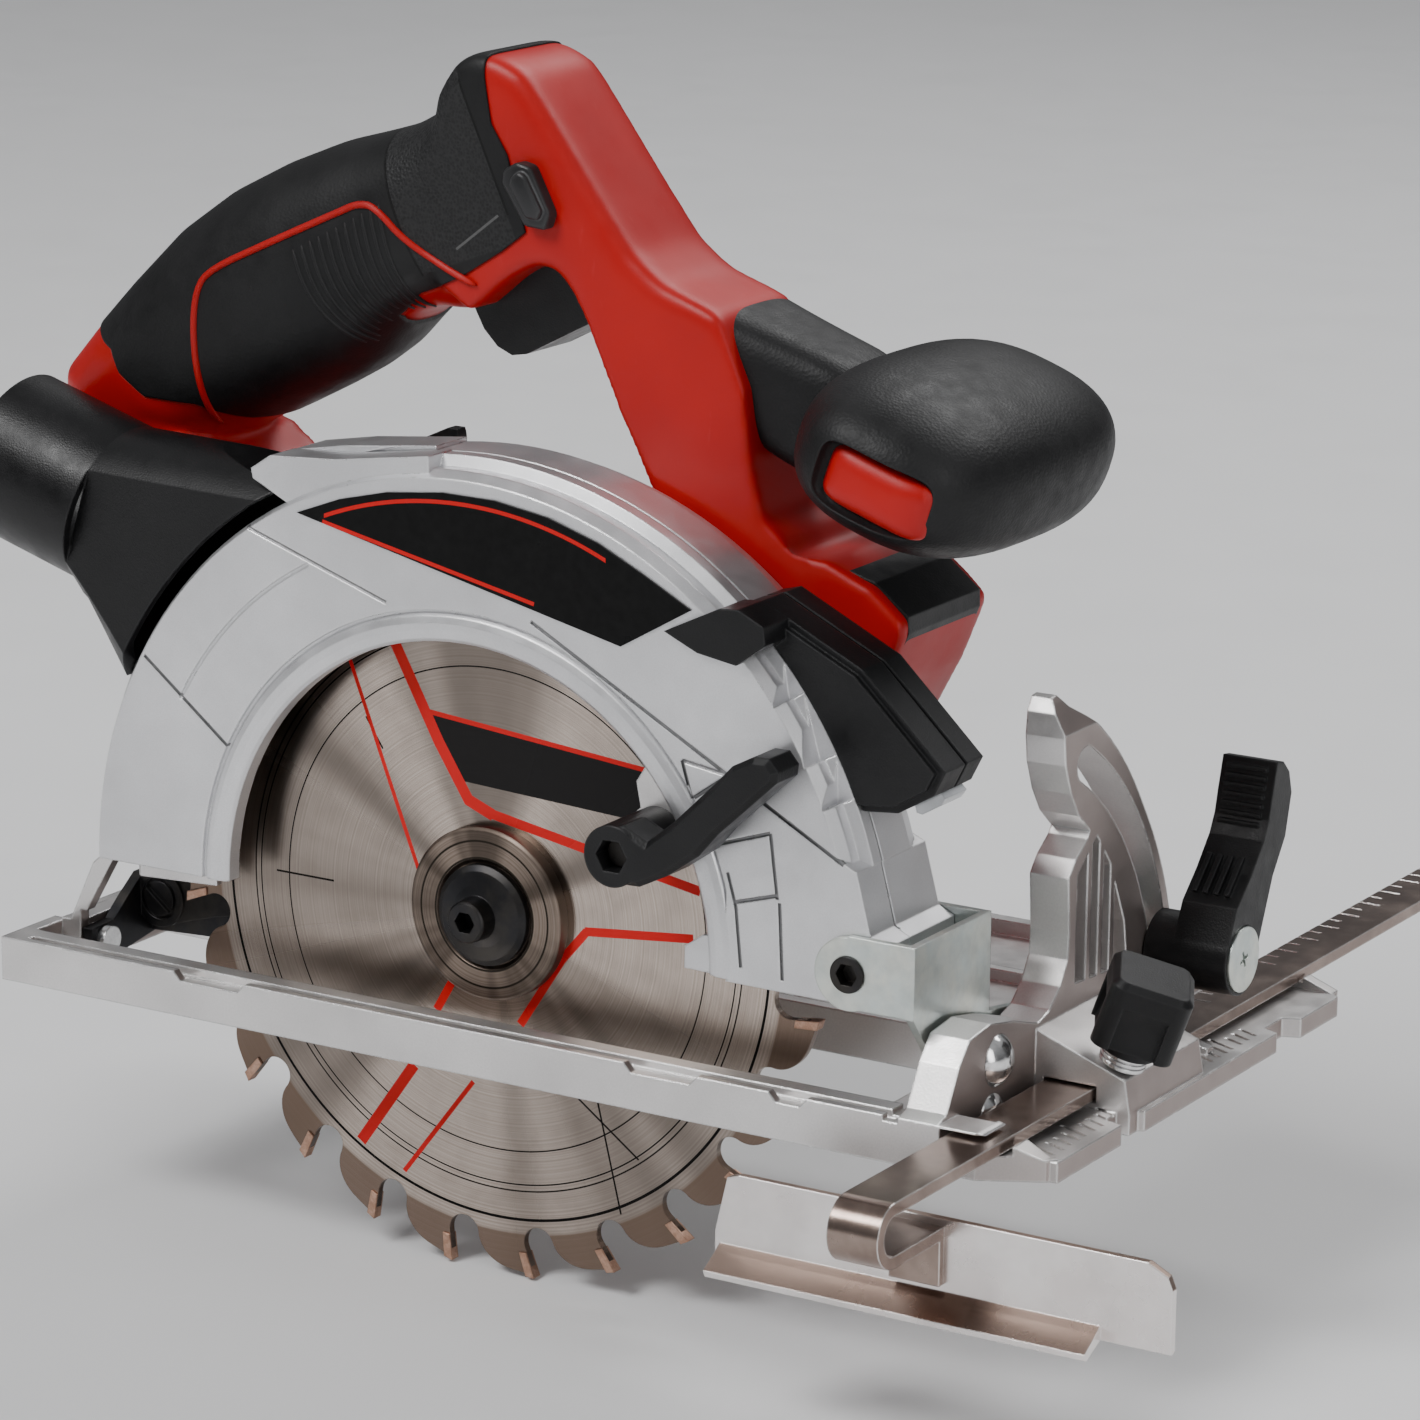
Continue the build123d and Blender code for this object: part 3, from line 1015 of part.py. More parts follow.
def battery_dock():
    """Rear socket for the slide-on battery: two upright rails and an open back."""
    dock = block(-88.0, -34.6, SHELL_L_Y, 92.0, 28.0, 79.0)
    dock -= cyl_y(MOTOR_X, MOTOR_Z, 27.2, 40, 100)
    dock -= block(-84.0, -38.0, SHELL_L_Y + 3.0, 89.0, 31.0, 76.0)
    dock -= block(-90.0, -80.0, 56.0, 85.4, 24.0, 74.0)
    for y0, y1 in ((53.0, 58.0), (83.4, 88.4)):
        dock -= block(-85.0, -82.0, y0, y1, 24.0, 74.0)
    dock += block(-82.0, -79.0, SHELL_L_Y + 2.0, 90.0, 30.0, 77.0)
    return largest(dock)


def terminal_block():
    base = block(-86.6, -82.0, 62.0, 79.4, 40.0, 66.0)
    for y in (64.0, 68.6, 73.2):
        base -= block(-88.0, -83.4, y, y + 2.2, 39.0, 62.0)
    return base


def trigger_switch():
    return block(-45.5, -25.0, 24.6, 39.4, 149.0, 164.0)


def control_board():
    return block(22.0, 46.0, 30.6, 32.2, 60.0, 92.0)


def housing_screws():
    """Thread-forming screws that close the handle shells from the left."""
    solids = []
    for x, z in ((6.0, 172.0), (34.0, 143.0), (30.0, 112.0), (66.0, 92.0), (44.0, 56.0), (-30.0, 84.0)):
        solids.append(cyl_y(x, z, 3.2, SHELL_L_Y, SHELL_L_Y + 1.8).solid())
    return group(solids)


def spindle_lock():
    x, z = polar(12.0, -20)
    return cyl_y(x, z, 2.0, 24.4, 37.2) + cyl_y(x, z, 5.0, 37.0, 46.0)


def depth_lever():
    """Clamp lever of the depth setting, reached from behind."""
    cx, cz = polar(DEPTH_ARC_R, DEPTH_BOLT_ANGLE, DEPTH_PIN_X, DEPTH_PIN_Z)
    hub = cyl_y(cx, cz, 8.6, 19.6, 27.4)
    arm = prism_y([(cx, cz + 6.4), (cx, cz - 7.4), (-80.0, 31.0), (-97.0, 37.0), (-100.0, 43.0),
                   (-84.0, 42.0)], 20.6, 26.6)
    return hub + arm - cyl_y(cx, cz, 2.45, 10, 30)


def depth_bolt():
    cx, cz = polar(DEPTH_ARC_R, DEPTH_BOLT_ANGLE, DEPTH_PIN_X, DEPTH_PIN_Z)
    return cyl_y(cx, cz, 2.4, GUARD_BACK, 27.4)


NODES = {
    "base_plate": base_plate,
    "bevel_rivets": bevel_rivets,
    "guide_bar": guide_bar,
    "guide_fence": guide_fence,
    "guide_knob": guide_knob,
    "knob_spring": knob_spring,
    "bevel_bracket": bevel_bracket,
    "bevel_bolt": bevel_bolt,
    "depth_pin": depth_pin,
    "depth_arm": depth_arm,
    "bevel_lever": bevel_lever,
    "bevel_lever_cap": bevel_lever_cap,
    "saw_blade": saw_blade,
    "blade_tips": blade_tips,
    "outer_flange": outer_flange,
    "inner_flange": inner_flange,
    "blade_bolt": blade_bolt,
    "spindle": spindle,
    "drive_gear": drive_gear,
    "rotor_shaft": rotor_shaft,
    "armature": armature,
    "armature_windings": armature_windings,
    "commutator": commutator,
    "cooling_fan": cooling_fan,
    "motor_can": motor_can,
    "motor_magnets": motor_magnets,
    "motor_brushes": motor_brushes,
    "spindle_bearings": spindle_bearings,
    "motor_bearings": motor_bearings,
    "upper_guard_outer": upper_guard_outer,
    "upper_guard_inner": upper_guard_inner,
    "gear_case_cover": gear_case_cover,
    "gear_case_screws": gear_case_screws,
    "guard_label": guard_label,
    "guard_screws": guard_screws,
    "front_shroud": front_shroud,
    "lamp_lens": lamp_lens,
    "dust_port": dust_port,
    "lower_guard": lower_guard,
    "guard_lever": guard_lever,
    "guard_lever_screw": guard_lever_screw,
    "depth_bolt": depth_bolt,
    "housing_right": lambda: largest(housing_shell(SHELL_R_Y, HANDLE_Y)),
    "housing_left": lambda: largest(housing_shell(HANDLE_Y, SHELL_L_Y)),
    "rear_grip_right": lambda: grip_cover(0, HANDLE_Y),
    "rear_grip_left": lambda: grip_cover(HANDLE_Y, 70),
    "trigger": trigger,
    "lock_off_button": lock_off_button,
    "front_neck": front_neck,
    "front_knob": front_knob,
    "front_vent_cap": front_vent_cap,
    "motor_barrel": motor_barrel,
    "motor_end_cap": motor_end_cap,
    "battery_dock": battery_dock,
    "terminal_block": terminal_block,
    "trigger_switch": trigger_switch,
    "control_board": control_board,
    "housing_screws": housing_screws,
    "spindle_lock": spindle_lock,
    "depth_lever": depth_lever,
}

for node_name, make in NODES.items():
    save(node_name, make())
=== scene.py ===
import json
import math

import bmesh
import bpy
from mathutils import Matrix, Vector
from mathutils.bvhtree import BVHTree


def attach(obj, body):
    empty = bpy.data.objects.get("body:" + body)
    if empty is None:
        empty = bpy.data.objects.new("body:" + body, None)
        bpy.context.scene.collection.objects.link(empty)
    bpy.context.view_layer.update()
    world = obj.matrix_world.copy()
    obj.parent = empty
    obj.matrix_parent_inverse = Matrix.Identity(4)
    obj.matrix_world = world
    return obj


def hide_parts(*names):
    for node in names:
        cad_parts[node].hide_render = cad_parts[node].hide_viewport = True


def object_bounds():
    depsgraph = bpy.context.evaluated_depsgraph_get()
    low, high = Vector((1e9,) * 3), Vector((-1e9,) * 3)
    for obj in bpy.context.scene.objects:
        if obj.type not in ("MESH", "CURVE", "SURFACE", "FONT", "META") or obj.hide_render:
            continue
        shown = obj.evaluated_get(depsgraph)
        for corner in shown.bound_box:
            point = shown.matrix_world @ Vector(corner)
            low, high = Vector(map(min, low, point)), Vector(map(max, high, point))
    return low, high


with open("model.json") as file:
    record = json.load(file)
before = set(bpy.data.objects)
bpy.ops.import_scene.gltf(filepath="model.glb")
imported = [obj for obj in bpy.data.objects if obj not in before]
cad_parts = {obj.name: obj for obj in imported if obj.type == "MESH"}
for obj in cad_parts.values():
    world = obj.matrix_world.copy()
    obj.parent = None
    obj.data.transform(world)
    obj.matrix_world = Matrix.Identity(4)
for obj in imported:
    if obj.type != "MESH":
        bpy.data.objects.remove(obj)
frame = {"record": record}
CAD_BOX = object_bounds()

MM = 0.001
ORIGIN_Y = 45.0           # the part's origin lies this far to the left of the blade plane
BLADE_Z = 27.0


def at(x, y, z):
    """A point given in millimetres from the sole under the blade, as a point of the part's frame."""
    return Vector((x * MM, (y - ORIGIN_Y) * MM, z * MM))


# ---------------------------------------------------------------- camera
AZIMUTH = math.radians(31.28)
ELEVATION = math.radians(14.54)
ROLL = math.radians(0.58)
AIM = (48.7, 0.0, 74.4)   # the point that the camera looks at
DISTANCE = 1033.0         # from that point, in millimetres
LENS = 138.5
SENSOR = 36.0


def make_camera():
    back = Vector((math.sin(AZIMUTH) * math.cos(ELEVATION), -math.cos(AZIMUTH) * math.cos(ELEVATION),
                   math.sin(ELEVATION)))
    right = Vector((0, 0, 1)).cross(back).normalized()
    up = back.cross(right)
    x_axis = right * math.cos(ROLL) + up * math.sin(ROLL)
    y_axis = up * math.cos(ROLL) - right * math.sin(ROLL)
    where = at(*AIM) + back * DISTANCE * MM
    data = bpy.data.cameras.new("camera")
    data.lens = LENS
    data.sensor_width = SENSOR
    data.sensor_fit = "HORIZONTAL"
    data.clip_start = 0.05
    data.clip_end = 20
    camera = bpy.data.objects.new("camera", data)
    matrix = Matrix((x_axis, y_axis, back)).transposed().to_4x4()
    matrix.translation = where
    camera.matrix_world = matrix
    bpy.context.scene.collection.objects.link(camera)
    bpy.context.scene.camera = camera


FLOOR_HALF = 6.0          # half the floor's side, in metres
FLOOR_GAP = 0.0006        # the floor lies this far under the lowest point, in metres


def area_light(name, where, target, size, power, colour=(1, 1, 1)):
    data = bpy.data.lights.new(name, "AREA")
    data.shape = "RECTANGLE"
    data.size = size[0]
    data.size_y = size[1]
    data.energy = power
    data.color = colour
    light = bpy.data.objects.new(name, data)
    light.location = where
    light.rotation_euler = (Vector(target) - Vector(where)).to_track_quat("-Z", "Y").to_euler()
    bpy.context.scene.collection.objects.link(light)


def make_studio():
    world = bpy.data.worlds.new("studio")
    world.use_nodes = True
    nodes = world.node_tree.nodes
    links = world.node_tree.links
    nodes.clear()
    out = nodes.new("ShaderNodeOutputWorld")
    shade = nodes.new("ShaderNodeBackground")
    ramp = nodes.new("ShaderNodeValToRGB")
    where = nodes.new("ShaderNodeTexCoord")
    split = nodes.new("ShaderNodeSeparateXYZ")
    links.new(where.outputs["Generated"], split.inputs[0])
    links.new(split.outputs["Z"], ramp.inputs[0])
    ramp.color_ramp.elements[0].position = 0.0
    ramp.color_ramp.elements[0].color = (0.14, 0.14, 0.15, 1)
    ramp.color_ramp.elements[1].position = 0.7
    ramp.color_ramp.elements[1].color = (0.95, 0.96, 0.98, 1)
    links.new(ramp.outputs[0], shade.inputs["Color"])
    shade.inputs["Strength"].default_value = 0.36
    links.new(shade.outputs[0], out.inputs[0])
    bpy.context.scene.world = world
    area_light("key", (-0.55, -1.15, 1.45), (0.02, 0, 0.06), (0.7, 0.7), 25)
    area_light("fill", (1.5, -0.7, 0.6), (0.05, 0, 0.05), (0.5, 1.2), 7)
    area_light("rim", (0.3, 1.2, 1.5), (0.02, 0, 0.08), (1.6, 0.5), 19)
    z = CAD_BOX[0][2] - FLOOR_GAP
    mesh = bpy.data.meshes.new("floor")
    corners = [(-FLOOR_HALF, -FLOOR_HALF, z), (FLOOR_HALF, -FLOOR_HALF, z), (FLOOR_HALF, FLOOR_HALF, z),
               (-FLOOR_HALF, FLOOR_HALF, z)]
    mesh.from_pydata(corners, [], [(0, 1, 2, 3)])
    floor = linked("floor", mesh)
    floor.data.materials.append(floor_material())


# ---------------------------------------------------------------- materials
class Shader:
    """Small helper that adds and joins the nodes of one material."""

    def __init__(self, name):
        self.material = bpy.data.materials.new(name)
        self.material.use_nodes = True
        self.tree = self.material.node_tree
        self.tree.nodes.clear()
        self.out = self.node("ShaderNodeOutputMaterial")
        self.skin = self.node("ShaderNodeBsdfPrincipled")
        self.join(self.skin, 0, self.out, 0)
        self.where = self.node("ShaderNodeTexCoord")

    def node(self, kind, **settings):
        made = self.tree.nodes.new(kind)
        for key, value in settings.items():
            setattr(made, key, value)
        return made

    def join(self, a, i, b, j):
        self.tree.links.new(a.outputs[i], b.inputs[j])

    def put(self, name, value):
        self.skin.inputs[name].default_value = value

    def noise(self, scale, detail=3.0, rough=0.55, stretch=None, source=None):
        made = self.node("ShaderNodeTexNoise")
        made.inputs["Scale"].default_value = scale
        made.inputs["Detail"].default_value = detail
        made.inputs["Roughness"].default_value = rough
        if stretch is None and source is None:
            self.join(self.where, "Object", made, "Vector")
        elif stretch is not None:
            mapping = self.node("ShaderNodeMapping")
            mapping.inputs["Scale"].default_value = stretch
            self.join(self.where, "Object", mapping, "Vector")
            self.join(mapping, "Vector", made, "Vector")
        else:
            self.tree.links.new(source, made.inputs["Vector"])
        return made.outputs["Fac"]

    def voronoi(self, scale, feature="F1"):
        made = self.node("ShaderNodeTexVoronoi", feature=feature)
        made.inputs["Scale"].default_value = scale
        self.join(self.where, "Object", made, "Vector")
        return made.outputs["Distance"]

    def math(self, kind, a, b=None, c=None, clamp=False):
        made = self.node("ShaderNodeMath", operation=kind, use_clamp=clamp)
        for i, value in enumerate((a, b, c)):
            if value is None:
                continue
            if isinstance(value, (int, float)):
                made.inputs[i].default_value = value
            else:
                self.tree.links.new(value, made.inputs[i])
        return made.outputs[0]

    def remap(self, value, a, b, c, d, smooth=False):
        made = self.node("ShaderNodeMapRange")
        if smooth:
            made.interpolation_type = "SMOOTHSTEP"
        self.tree.links.new(value, made.inputs["Value"])
        for key, number in (("From Min", a), ("From Max", b), ("To Min", c), ("To Max", d)):
            made.inputs[key].default_value = number
        return made.outputs["Result"]

    def mix(self, fac, a, b, kind="MIX"):
        made = self.node("ShaderNodeMix", data_type="RGBA", blend_type=kind)
        if isinstance(fac, (int, float)):
            made.inputs["Factor"].default_value = fac
        else:
            self.tree.links.new(fac, made.inputs["Factor"])
        for key, value in ((6, a), (7, b)):
            if isinstance(value, tuple):
                made.inputs[key].default_value = (*value, 1) if len(value) == 3 else value
            else:
                self.tree.links.new(value, made.inputs[key])
        return made.outputs[2]

    def xyz(self):
        split = self.node("ShaderNodeSeparateXYZ")
        self.join(self.where, "Object", split, "Vector")
        return split.outputs

    def stripe(self, x, z, a, b, half):
        """1 inside a straight printed line from a to b, both (x, z) in millimetres."""
        length = math.hypot(b[0] - a[0], b[1] - a[1])
        ux, uz = (b[0] - a[0]) / length, (b[1] - a[1]) / length
        along = self.line(x, z, a, ux, uz)
        across = self.math("ABSOLUTE", self.line(x, z, a, -uz, ux))
        inside = self.math("LESS_THAN", across, half * MM)
        inside = self.math("MULTIPLY", inside, self.math("GREATER_THAN", along, 0.0))
        return self.math("MULTIPLY", inside, self.math("LESS_THAN", along, length * MM))

    def line(self, x, z, a, ux, uz):
        """Distance of (x, z) from the point a, measured along the direction (ux, uz)."""
        shift = (a[0] * ux + a[1] * uz) * MM
        return self.math("SUBTRACT", self.math("ADD", self.math("MULTIPLY", x, ux),
                                               self.math("MULTIPLY", z, uz)), shift)

    def band(self, value, low, high):
        """1 where a length in metres lies between two values in millimetres."""
        return self.math("MULTIPLY", self.math("GREATER_THAN", value, low * MM),
                         self.math("LESS_THAN", value, high * MM))

    def union(self, masks):
        total = masks[0]
        for mask in masks[1:]:
            total = self.math("MAXIMUM", total, mask)
        return total

    def facing(self, axis):
        """How far a face looks along +X, +Y or +Z (axis 0, 1 or 2), from -1 to 1."""
        shape = self.node("ShaderNodeNewGeometry")
        split = self.node("ShaderNodeSeparateXYZ")
        self.join(shape, "True Normal", split, "Vector")
        return split.outputs[axis]

    def edges(self, radius):
        """1 on edges that a rounding of this radius would soften, 0 on flats."""
        bevel = self.node("ShaderNodeBevel", samples=4)
        bevel.inputs["Radius"].default_value = radius
        shape = self.node("ShaderNodeNewGeometry")
        dot = self.node("ShaderNodeVectorMath", operation="DOT_PRODUCT")
        self.join(bevel, 0, dot, 0)
        self.join(shape, "True Normal", dot, 1)
        return self.remap(dot.outputs["Value"], 0.995, 0.86, 0, 1)

    def bump(self, height, depth, strength=1.0, bevel=None):
        made = self.node("ShaderNodeBump")
        made.inputs["Distance"].default_value = depth
        made.inputs["Strength"].default_value = strength
        self.tree.links.new(height, made.inputs["Height"])
        if bevel:
            soft = self.node("ShaderNodeBevel", samples=4)
            soft.inputs["Radius"].default_value = bevel
            self.join(soft, 0, made, "Normal")
        self.join(made, 0, self.skin, "Normal")

    def colour(self, socket):
        self.tree.links.new(socket, self.skin.inputs["Base Color"])

    def rough(self, socket):
        self.tree.links.new(socket, self.skin.inputs["Roughness"])


def floor_material():
    s = Shader("floor_pale")
    patch = s.noise(2.2, 4)
    s.colour(s.mix(patch, (0.78, 0.78, 0.78), (0.83, 0.83, 0.84)))
    s.rough(s.remap(s.noise(30, 3), 0.3, 0.7, 0.55, 0.68))
    s.bump(s.noise(900, 2), 0.0001, 0.15)
    return s.material


GUARD_SKIN = -10.9        # y under which the guard's outer skin lies
GUARD_LINES = (
    ((16.0, 89.6), (85.2, 52.5)), ((50.0, 67.4), (52.2, 60.2)), ((52.2, 60.2), (60.2, 66.0)),
    ((50.0, 67.4), (60.2, 66.0)), ((57.6, 52.2), (69.4, 56.2)), ((69.4, 56.2), (71.1, 43.6)),
    ((60.2, 47.2), (62.1, 40.7)), ((61.6, 41.6), (71.2, 44.4)), ((62.1, 40.7), (63.3, 29.0)),
    ((71.6, 43.0), (72.4, 28.0)), ((-60.6, 103.2), (-17.3, 88.9)), ((-75.8, 70.4), (-55.6, 54.7)))


def guard_grooves(s):
    """1 in the thin grooves cut into the guard's outer face, where cast_metal paints shade."""
    x, y, z = s.xyz()
    cuts = s.union([s.stripe(x, z, a, b, 0.38) for a, b in GUARD_LINES])
    return s.math("MULTIPLY", cuts, s.math("LESS_THAN", y, (GUARD_SKIN - ORIGIN_Y) * MM))


def cast_metal(name, base, rough, grain, depth, soft, edge_highlight, grooves=None, shade=None):
    """Die-cast aluminium: blasted grain, faint flow patches, and edges that carry a painted highlight and
    are a little less rough.

    shade paints shade onto the faces that look forward, and grooves masks lines that are darkened with
    painted shade.
    """
    s = Shader(name)
    patch = s.noise(28, 4)
    fine = s.noise(grain, 2)
    dark = tuple(c * 0.86 for c in base)
    light = tuple(min(1.0, c * 1.06) for c in base)
    body = s.mix(s.remap(patch, 0.3, 0.7, 0, 1), dark, light)
    body = s.mix(s.remap(fine, 0.35, 0.75, 0, 0.28), body, tuple(c * 0.72 for c in base))
    edge = s.edges(soft * 1.3)
    # painted shade: faces that look forward take on the darker shade colour
    if shade:
        body = s.mix(s.remap(s.facing(0), 0.25, 0.75, 0, 0.85), body, shade)
    # painted highlight: the edges are whitened
    body = s.mix(s.math("MULTIPLY", edge, edge_highlight), body, (0.92, 0.92, 0.92))
    # painted shade: the grooves are darkened
    if grooves:
        body = s.mix(grooves(s), body, (0.27, 0.27, 0.275))
    s.colour(body)
    wear = s.remap(s.noise(160, 5), 0.35, 0.7, rough - 0.05, rough + 0.07)
    s.rough(s.math("SUBTRACT", wear, s.math("MULTIPLY", edge, 0.12)))
    s.put("Metallic", 0.86)
    s.bump(fine, depth, 0.5, soft)
    return s.material


def plated_steel(name, base, tint, rough, patch_scale=90, edge_highlight=0.0, up_shade=None):
    """Zinc or nickel plate: mottled colour over faint rolling lines.

    Optional arguments paint a highlight onto the edges and paint shade onto the faces that look up.
    """
    s = Shader(name)
    patch = s.noise(patch_scale, 5, 0.65)
    cloud = s.noise(patch_scale * 3.1, 3)
    body = s.mix(s.remap(patch, 0.35, 0.65, 0, 1, True), base, tint)
    body = s.mix(s.remap(cloud, 0.4, 0.7, 0, 0.35), body, tuple(c * 0.6 for c in base))
    # painted shade: faces that look up turn darker and browner
    if up_shade:
        body = s.mix(s.remap(s.facing(2), 0.1, 0.4, 0, 0.9), body, up_shade)
    # painted highlight: the edges are whitened
    if edge_highlight:
        body = s.mix(s.math("MULTIPLY", s.edges(0.0005), edge_highlight), body, (0.95, 0.92, 0.90))
    s.colour(body)
    s.rough(s.remap(patch, 0.3, 0.7, rough, rough + 0.14))
    s.put("Metallic", 0.95)
    s.put("Anisotropic", 0.3)
    s.bump(s.noise(1400, 2, 0.5, (1, 0.12, 1)), 0.00002, 0.35, 0.0004)
    return s.material


def black_plastic(name, base, rough, grain, depth, edge_highlight=0.2):
    s = Shader(name)
    cell = s.voronoi(grain)
    patch = s.noise(60, 4)
    dark = tuple(c * 0.75 for c in base)
    light = tuple(c * 1.4 for c in base)
    body = s.mix(s.remap(patch, 0.3, 0.7, 0, 1), dark, light)
    edge = s.edges(0.0007)
    # painted highlight: the edges are lightened
    s.colour(s.mix(s.math("MULTIPLY", edge, edge_highlight), body, (0.09, 0.09, 0.092)))
    s.rough(s.remap(s.noise(240, 4), 0.3, 0.7, rough - 0.06, rough + 0.08))
    s.put("Specular IOR Level", 0.3)
    s.bump(cell, depth, 0.5, 0.0006)
    return s.material


GRAIN = 1500              # cells of the covers' grain per metre


def grip_cover():
    """Soft black cover of the rear handle, with a coarse grained patch behind the lock-off button."""
    s = Shader("black_cover")
    x, _, z = s.xyz()
    left = s.remap(s.line(x, z, (-38.8, 172.6), 0.915, 0.403), 0.0, 0.0004, 0, 1)
    right = s.remap(s.line(x, z, (-16.5, 182.6), 0.909, 0.416), -0.0004, 0.0, 1, 0)
    below = s.remap(s.line(x, z, (-27.7, 147.4), -0.354, 0.935), 0.0, 0.0004, 0, 1)
    patch = s.math("MULTIPLY", s.math("MULTIPLY", left, right), below)
    seams = s.union([s.stripe(x, z, (-41.0, 177.6), (-27.7, 147.4), 0.28),
                     s.stripe(x, z, (-18.5, 187.0), (-6.9, 161.6), 0.28)])
    # painted highlight: a thin light line along a small ridge of the cover
    ridge_highlight = s.stripe(x, z, (-18.9, 153.8), (-9.2, 161.3), 0.25)
    tone = s.remap(s.noise(60, 4), 0.3, 0.7, 0, 1)
    body = s.mix(tone, (0.006, 0.006, 0.0064), (0.0115, 0.0115, 0.012))
    grain = s.remap(s.voronoi(GRAIN), 0.1, 0.7, 0, 1)
    body = s.mix(s.math("MULTIPLY", patch, grain), body, (0.02, 0.02, 0.0205))
    body = s.mix(seams, body, (0.002, 0.002, 0.002))
    s.colour(s.mix(ridge_highlight, body, (0.09, 0.09, 0.09)))
    s.rough(s.remap(s.noise(240, 4), 0.3, 0.7, 0.44, 0.58))
    s.put("Specular IOR Level", 0.3)
    cell = s.math("MULTIPLY", s.voronoi(GRAIN), s.remap(patch, 0, 1, 0.5, 2.6))
    s.bump(s.math("SUBTRACT", cell, s.math("MULTIPLY", seams, 3.0)), 0.0001, 0.5, 0.0006)
    return s.material


def red_plastic():
    s = Shader("red_shell")
    patch = s.noise(24, 3)
    body = s.mix(s.remap(patch, 0.3, 0.7, 0, 1), (0.38, 0.003, 0.003), (0.48, 0.005, 0.0045))
    scuff = s.remap(s.noise(420, 6, 0.7, (1, 1, 0.2)), 0.62, 0.72, 0, 0.25)
    s.colour(s.mix(scuff, body, (0.55, 0.05, 0.045)))
    s.rough(s.remap(s.noise(90, 4), 0.3, 0.7, 0.34, 0.46))
    s.put("Specular IOR Level", 0.34)
    s.bump(s.noise(2600, 2), 0.00003, 0.4, 0.0012)
    return s.material


def radius_about(s, cx, cz):
    """Distance from a Y axis through (cx, cz), after its two components."""
    x, _, z = s.xyz()
    dx = s.math("SUBTRACT", x, cx * MM)
    dz = s.math("SUBTRACT", z, cz * MM)
    radius = s.math("SQRT", s.math("ADD", s.math("MULTIPLY", dx, dx), s.math("MULTIPLY", dz, dz)))
    return dx, dz, radius


def turned_metal(name, base, tint, rough, centre=(0.0, BLADE_Z)):
    """Steel with fine marks of a lathe about a Y axis, and a painted sweep of highlight and shade by angle
    round that axis.
    """
    s = Shader(name)
    dx, dz, radius = radius_about(s, *centre)
    ring = s.node("ShaderNodeTexNoise", noise_dimensions="1D")
    ring.inputs["Scale"].default_value = 2600
    ring.inputs["Detail"].default_value = 3
    s.tree.links.new(radius, ring.inputs["W"])
    patch = s.noise(110, 5)
    body = s.mix(s.remap(ring.outputs["Fac"], 0.3, 0.7, 0, 1), base, tint)
    body = s.mix(s.remap(patch, 0.45, 0.75, 0, 0.4), body, tuple(c * 0.6 for c in base))
    wedge = s.node("ShaderNodeCombineXYZ")
    s.tree.links.new(s.math("DIVIDE", dx, radius), wedge.inputs[0])
    s.tree.links.new(s.math("DIVIDE", dz, radius), wedge.inputs[2])
    # painted highlight and shade: a sweep by angle round the axis darkens some sectors; it also sets the
    # roughness
    highlight_sweep = s.noise(1.5, 2, 0.6, None, wedge.outputs[0])
    body = s.mix(s.remap(highlight_sweep, 0.36, 0.60, 0.8, 0, True), body, tuple(c * 0.3 for c in base))
    s.rough(s.remap(highlight_sweep, 0.3, 0.7, rough + 0.1, rough))
    s.put("Metallic", 1.0)
    s.bump(ring.outputs["Fac"], 0.00003, 0.4, 0.0003)
    return s, body, radius


def flange_metal():
    s, body, radius = turned_metal("flange_turned", (0.20, 0.155, 0.125), (0.30, 0.24, 0.20), 0.36)
    groove = s.union([s.band(radius, 14.6, 15.0), s.band(radius, 11.2, 11.6)])
    # painted shade: two dark rings where the flange's turned grooves lie
    s.colour(s.mix(groove, body, (0.03, 0.025, 0.02)))
    s.put("Anisotropic", 0.5)
    return s.material


RED_LINES = (
    # from, to, half width: printed lines on the left face of the blade
    ((-33.7, 72.9), (-17.2, 31.6), 0.45),
    ((-23.6, 79.0), (-12.4, 58.8), 1.25),
    ((-12.6, 59.2), (-5.6, 48.4), 1.25),
    ((-6.2, 48.8), (0.0, 46.4), 1.25),
    ((-0.8, 46.7), (47.4, 38.6), 1.0),
    ((-14.7, 65.1), (41.0, 60.2), 0.5),
    ((21.4, 26.3), (46.0, 28.9), 0.9),
    ((6.4, 4.8), (15.9, 19.4), 0.9),
    ((15.4, 18.9), (21.8, 26.4), 0.9),
    ((-13.4, 4.4), (-9.6, 11.0), 0.9),
    ((-31.8, -26.4), (-18.8, -8.0), 1.2),
    ((-21.3, -30.8), (-4.7, -9.0), 0.5),
)
BLACK_LINES = (
    ((-52.0, 27.0), (-38.0, 27.0), 0.2),
    ((20.0, -8.0), (34.0, -18.0), 0.2),
    ((22.0, 2.0), (30.0, -30.0), 0.2),
    ((-30.0, 62.0), (-26.0, 56.0), 0.2),
)


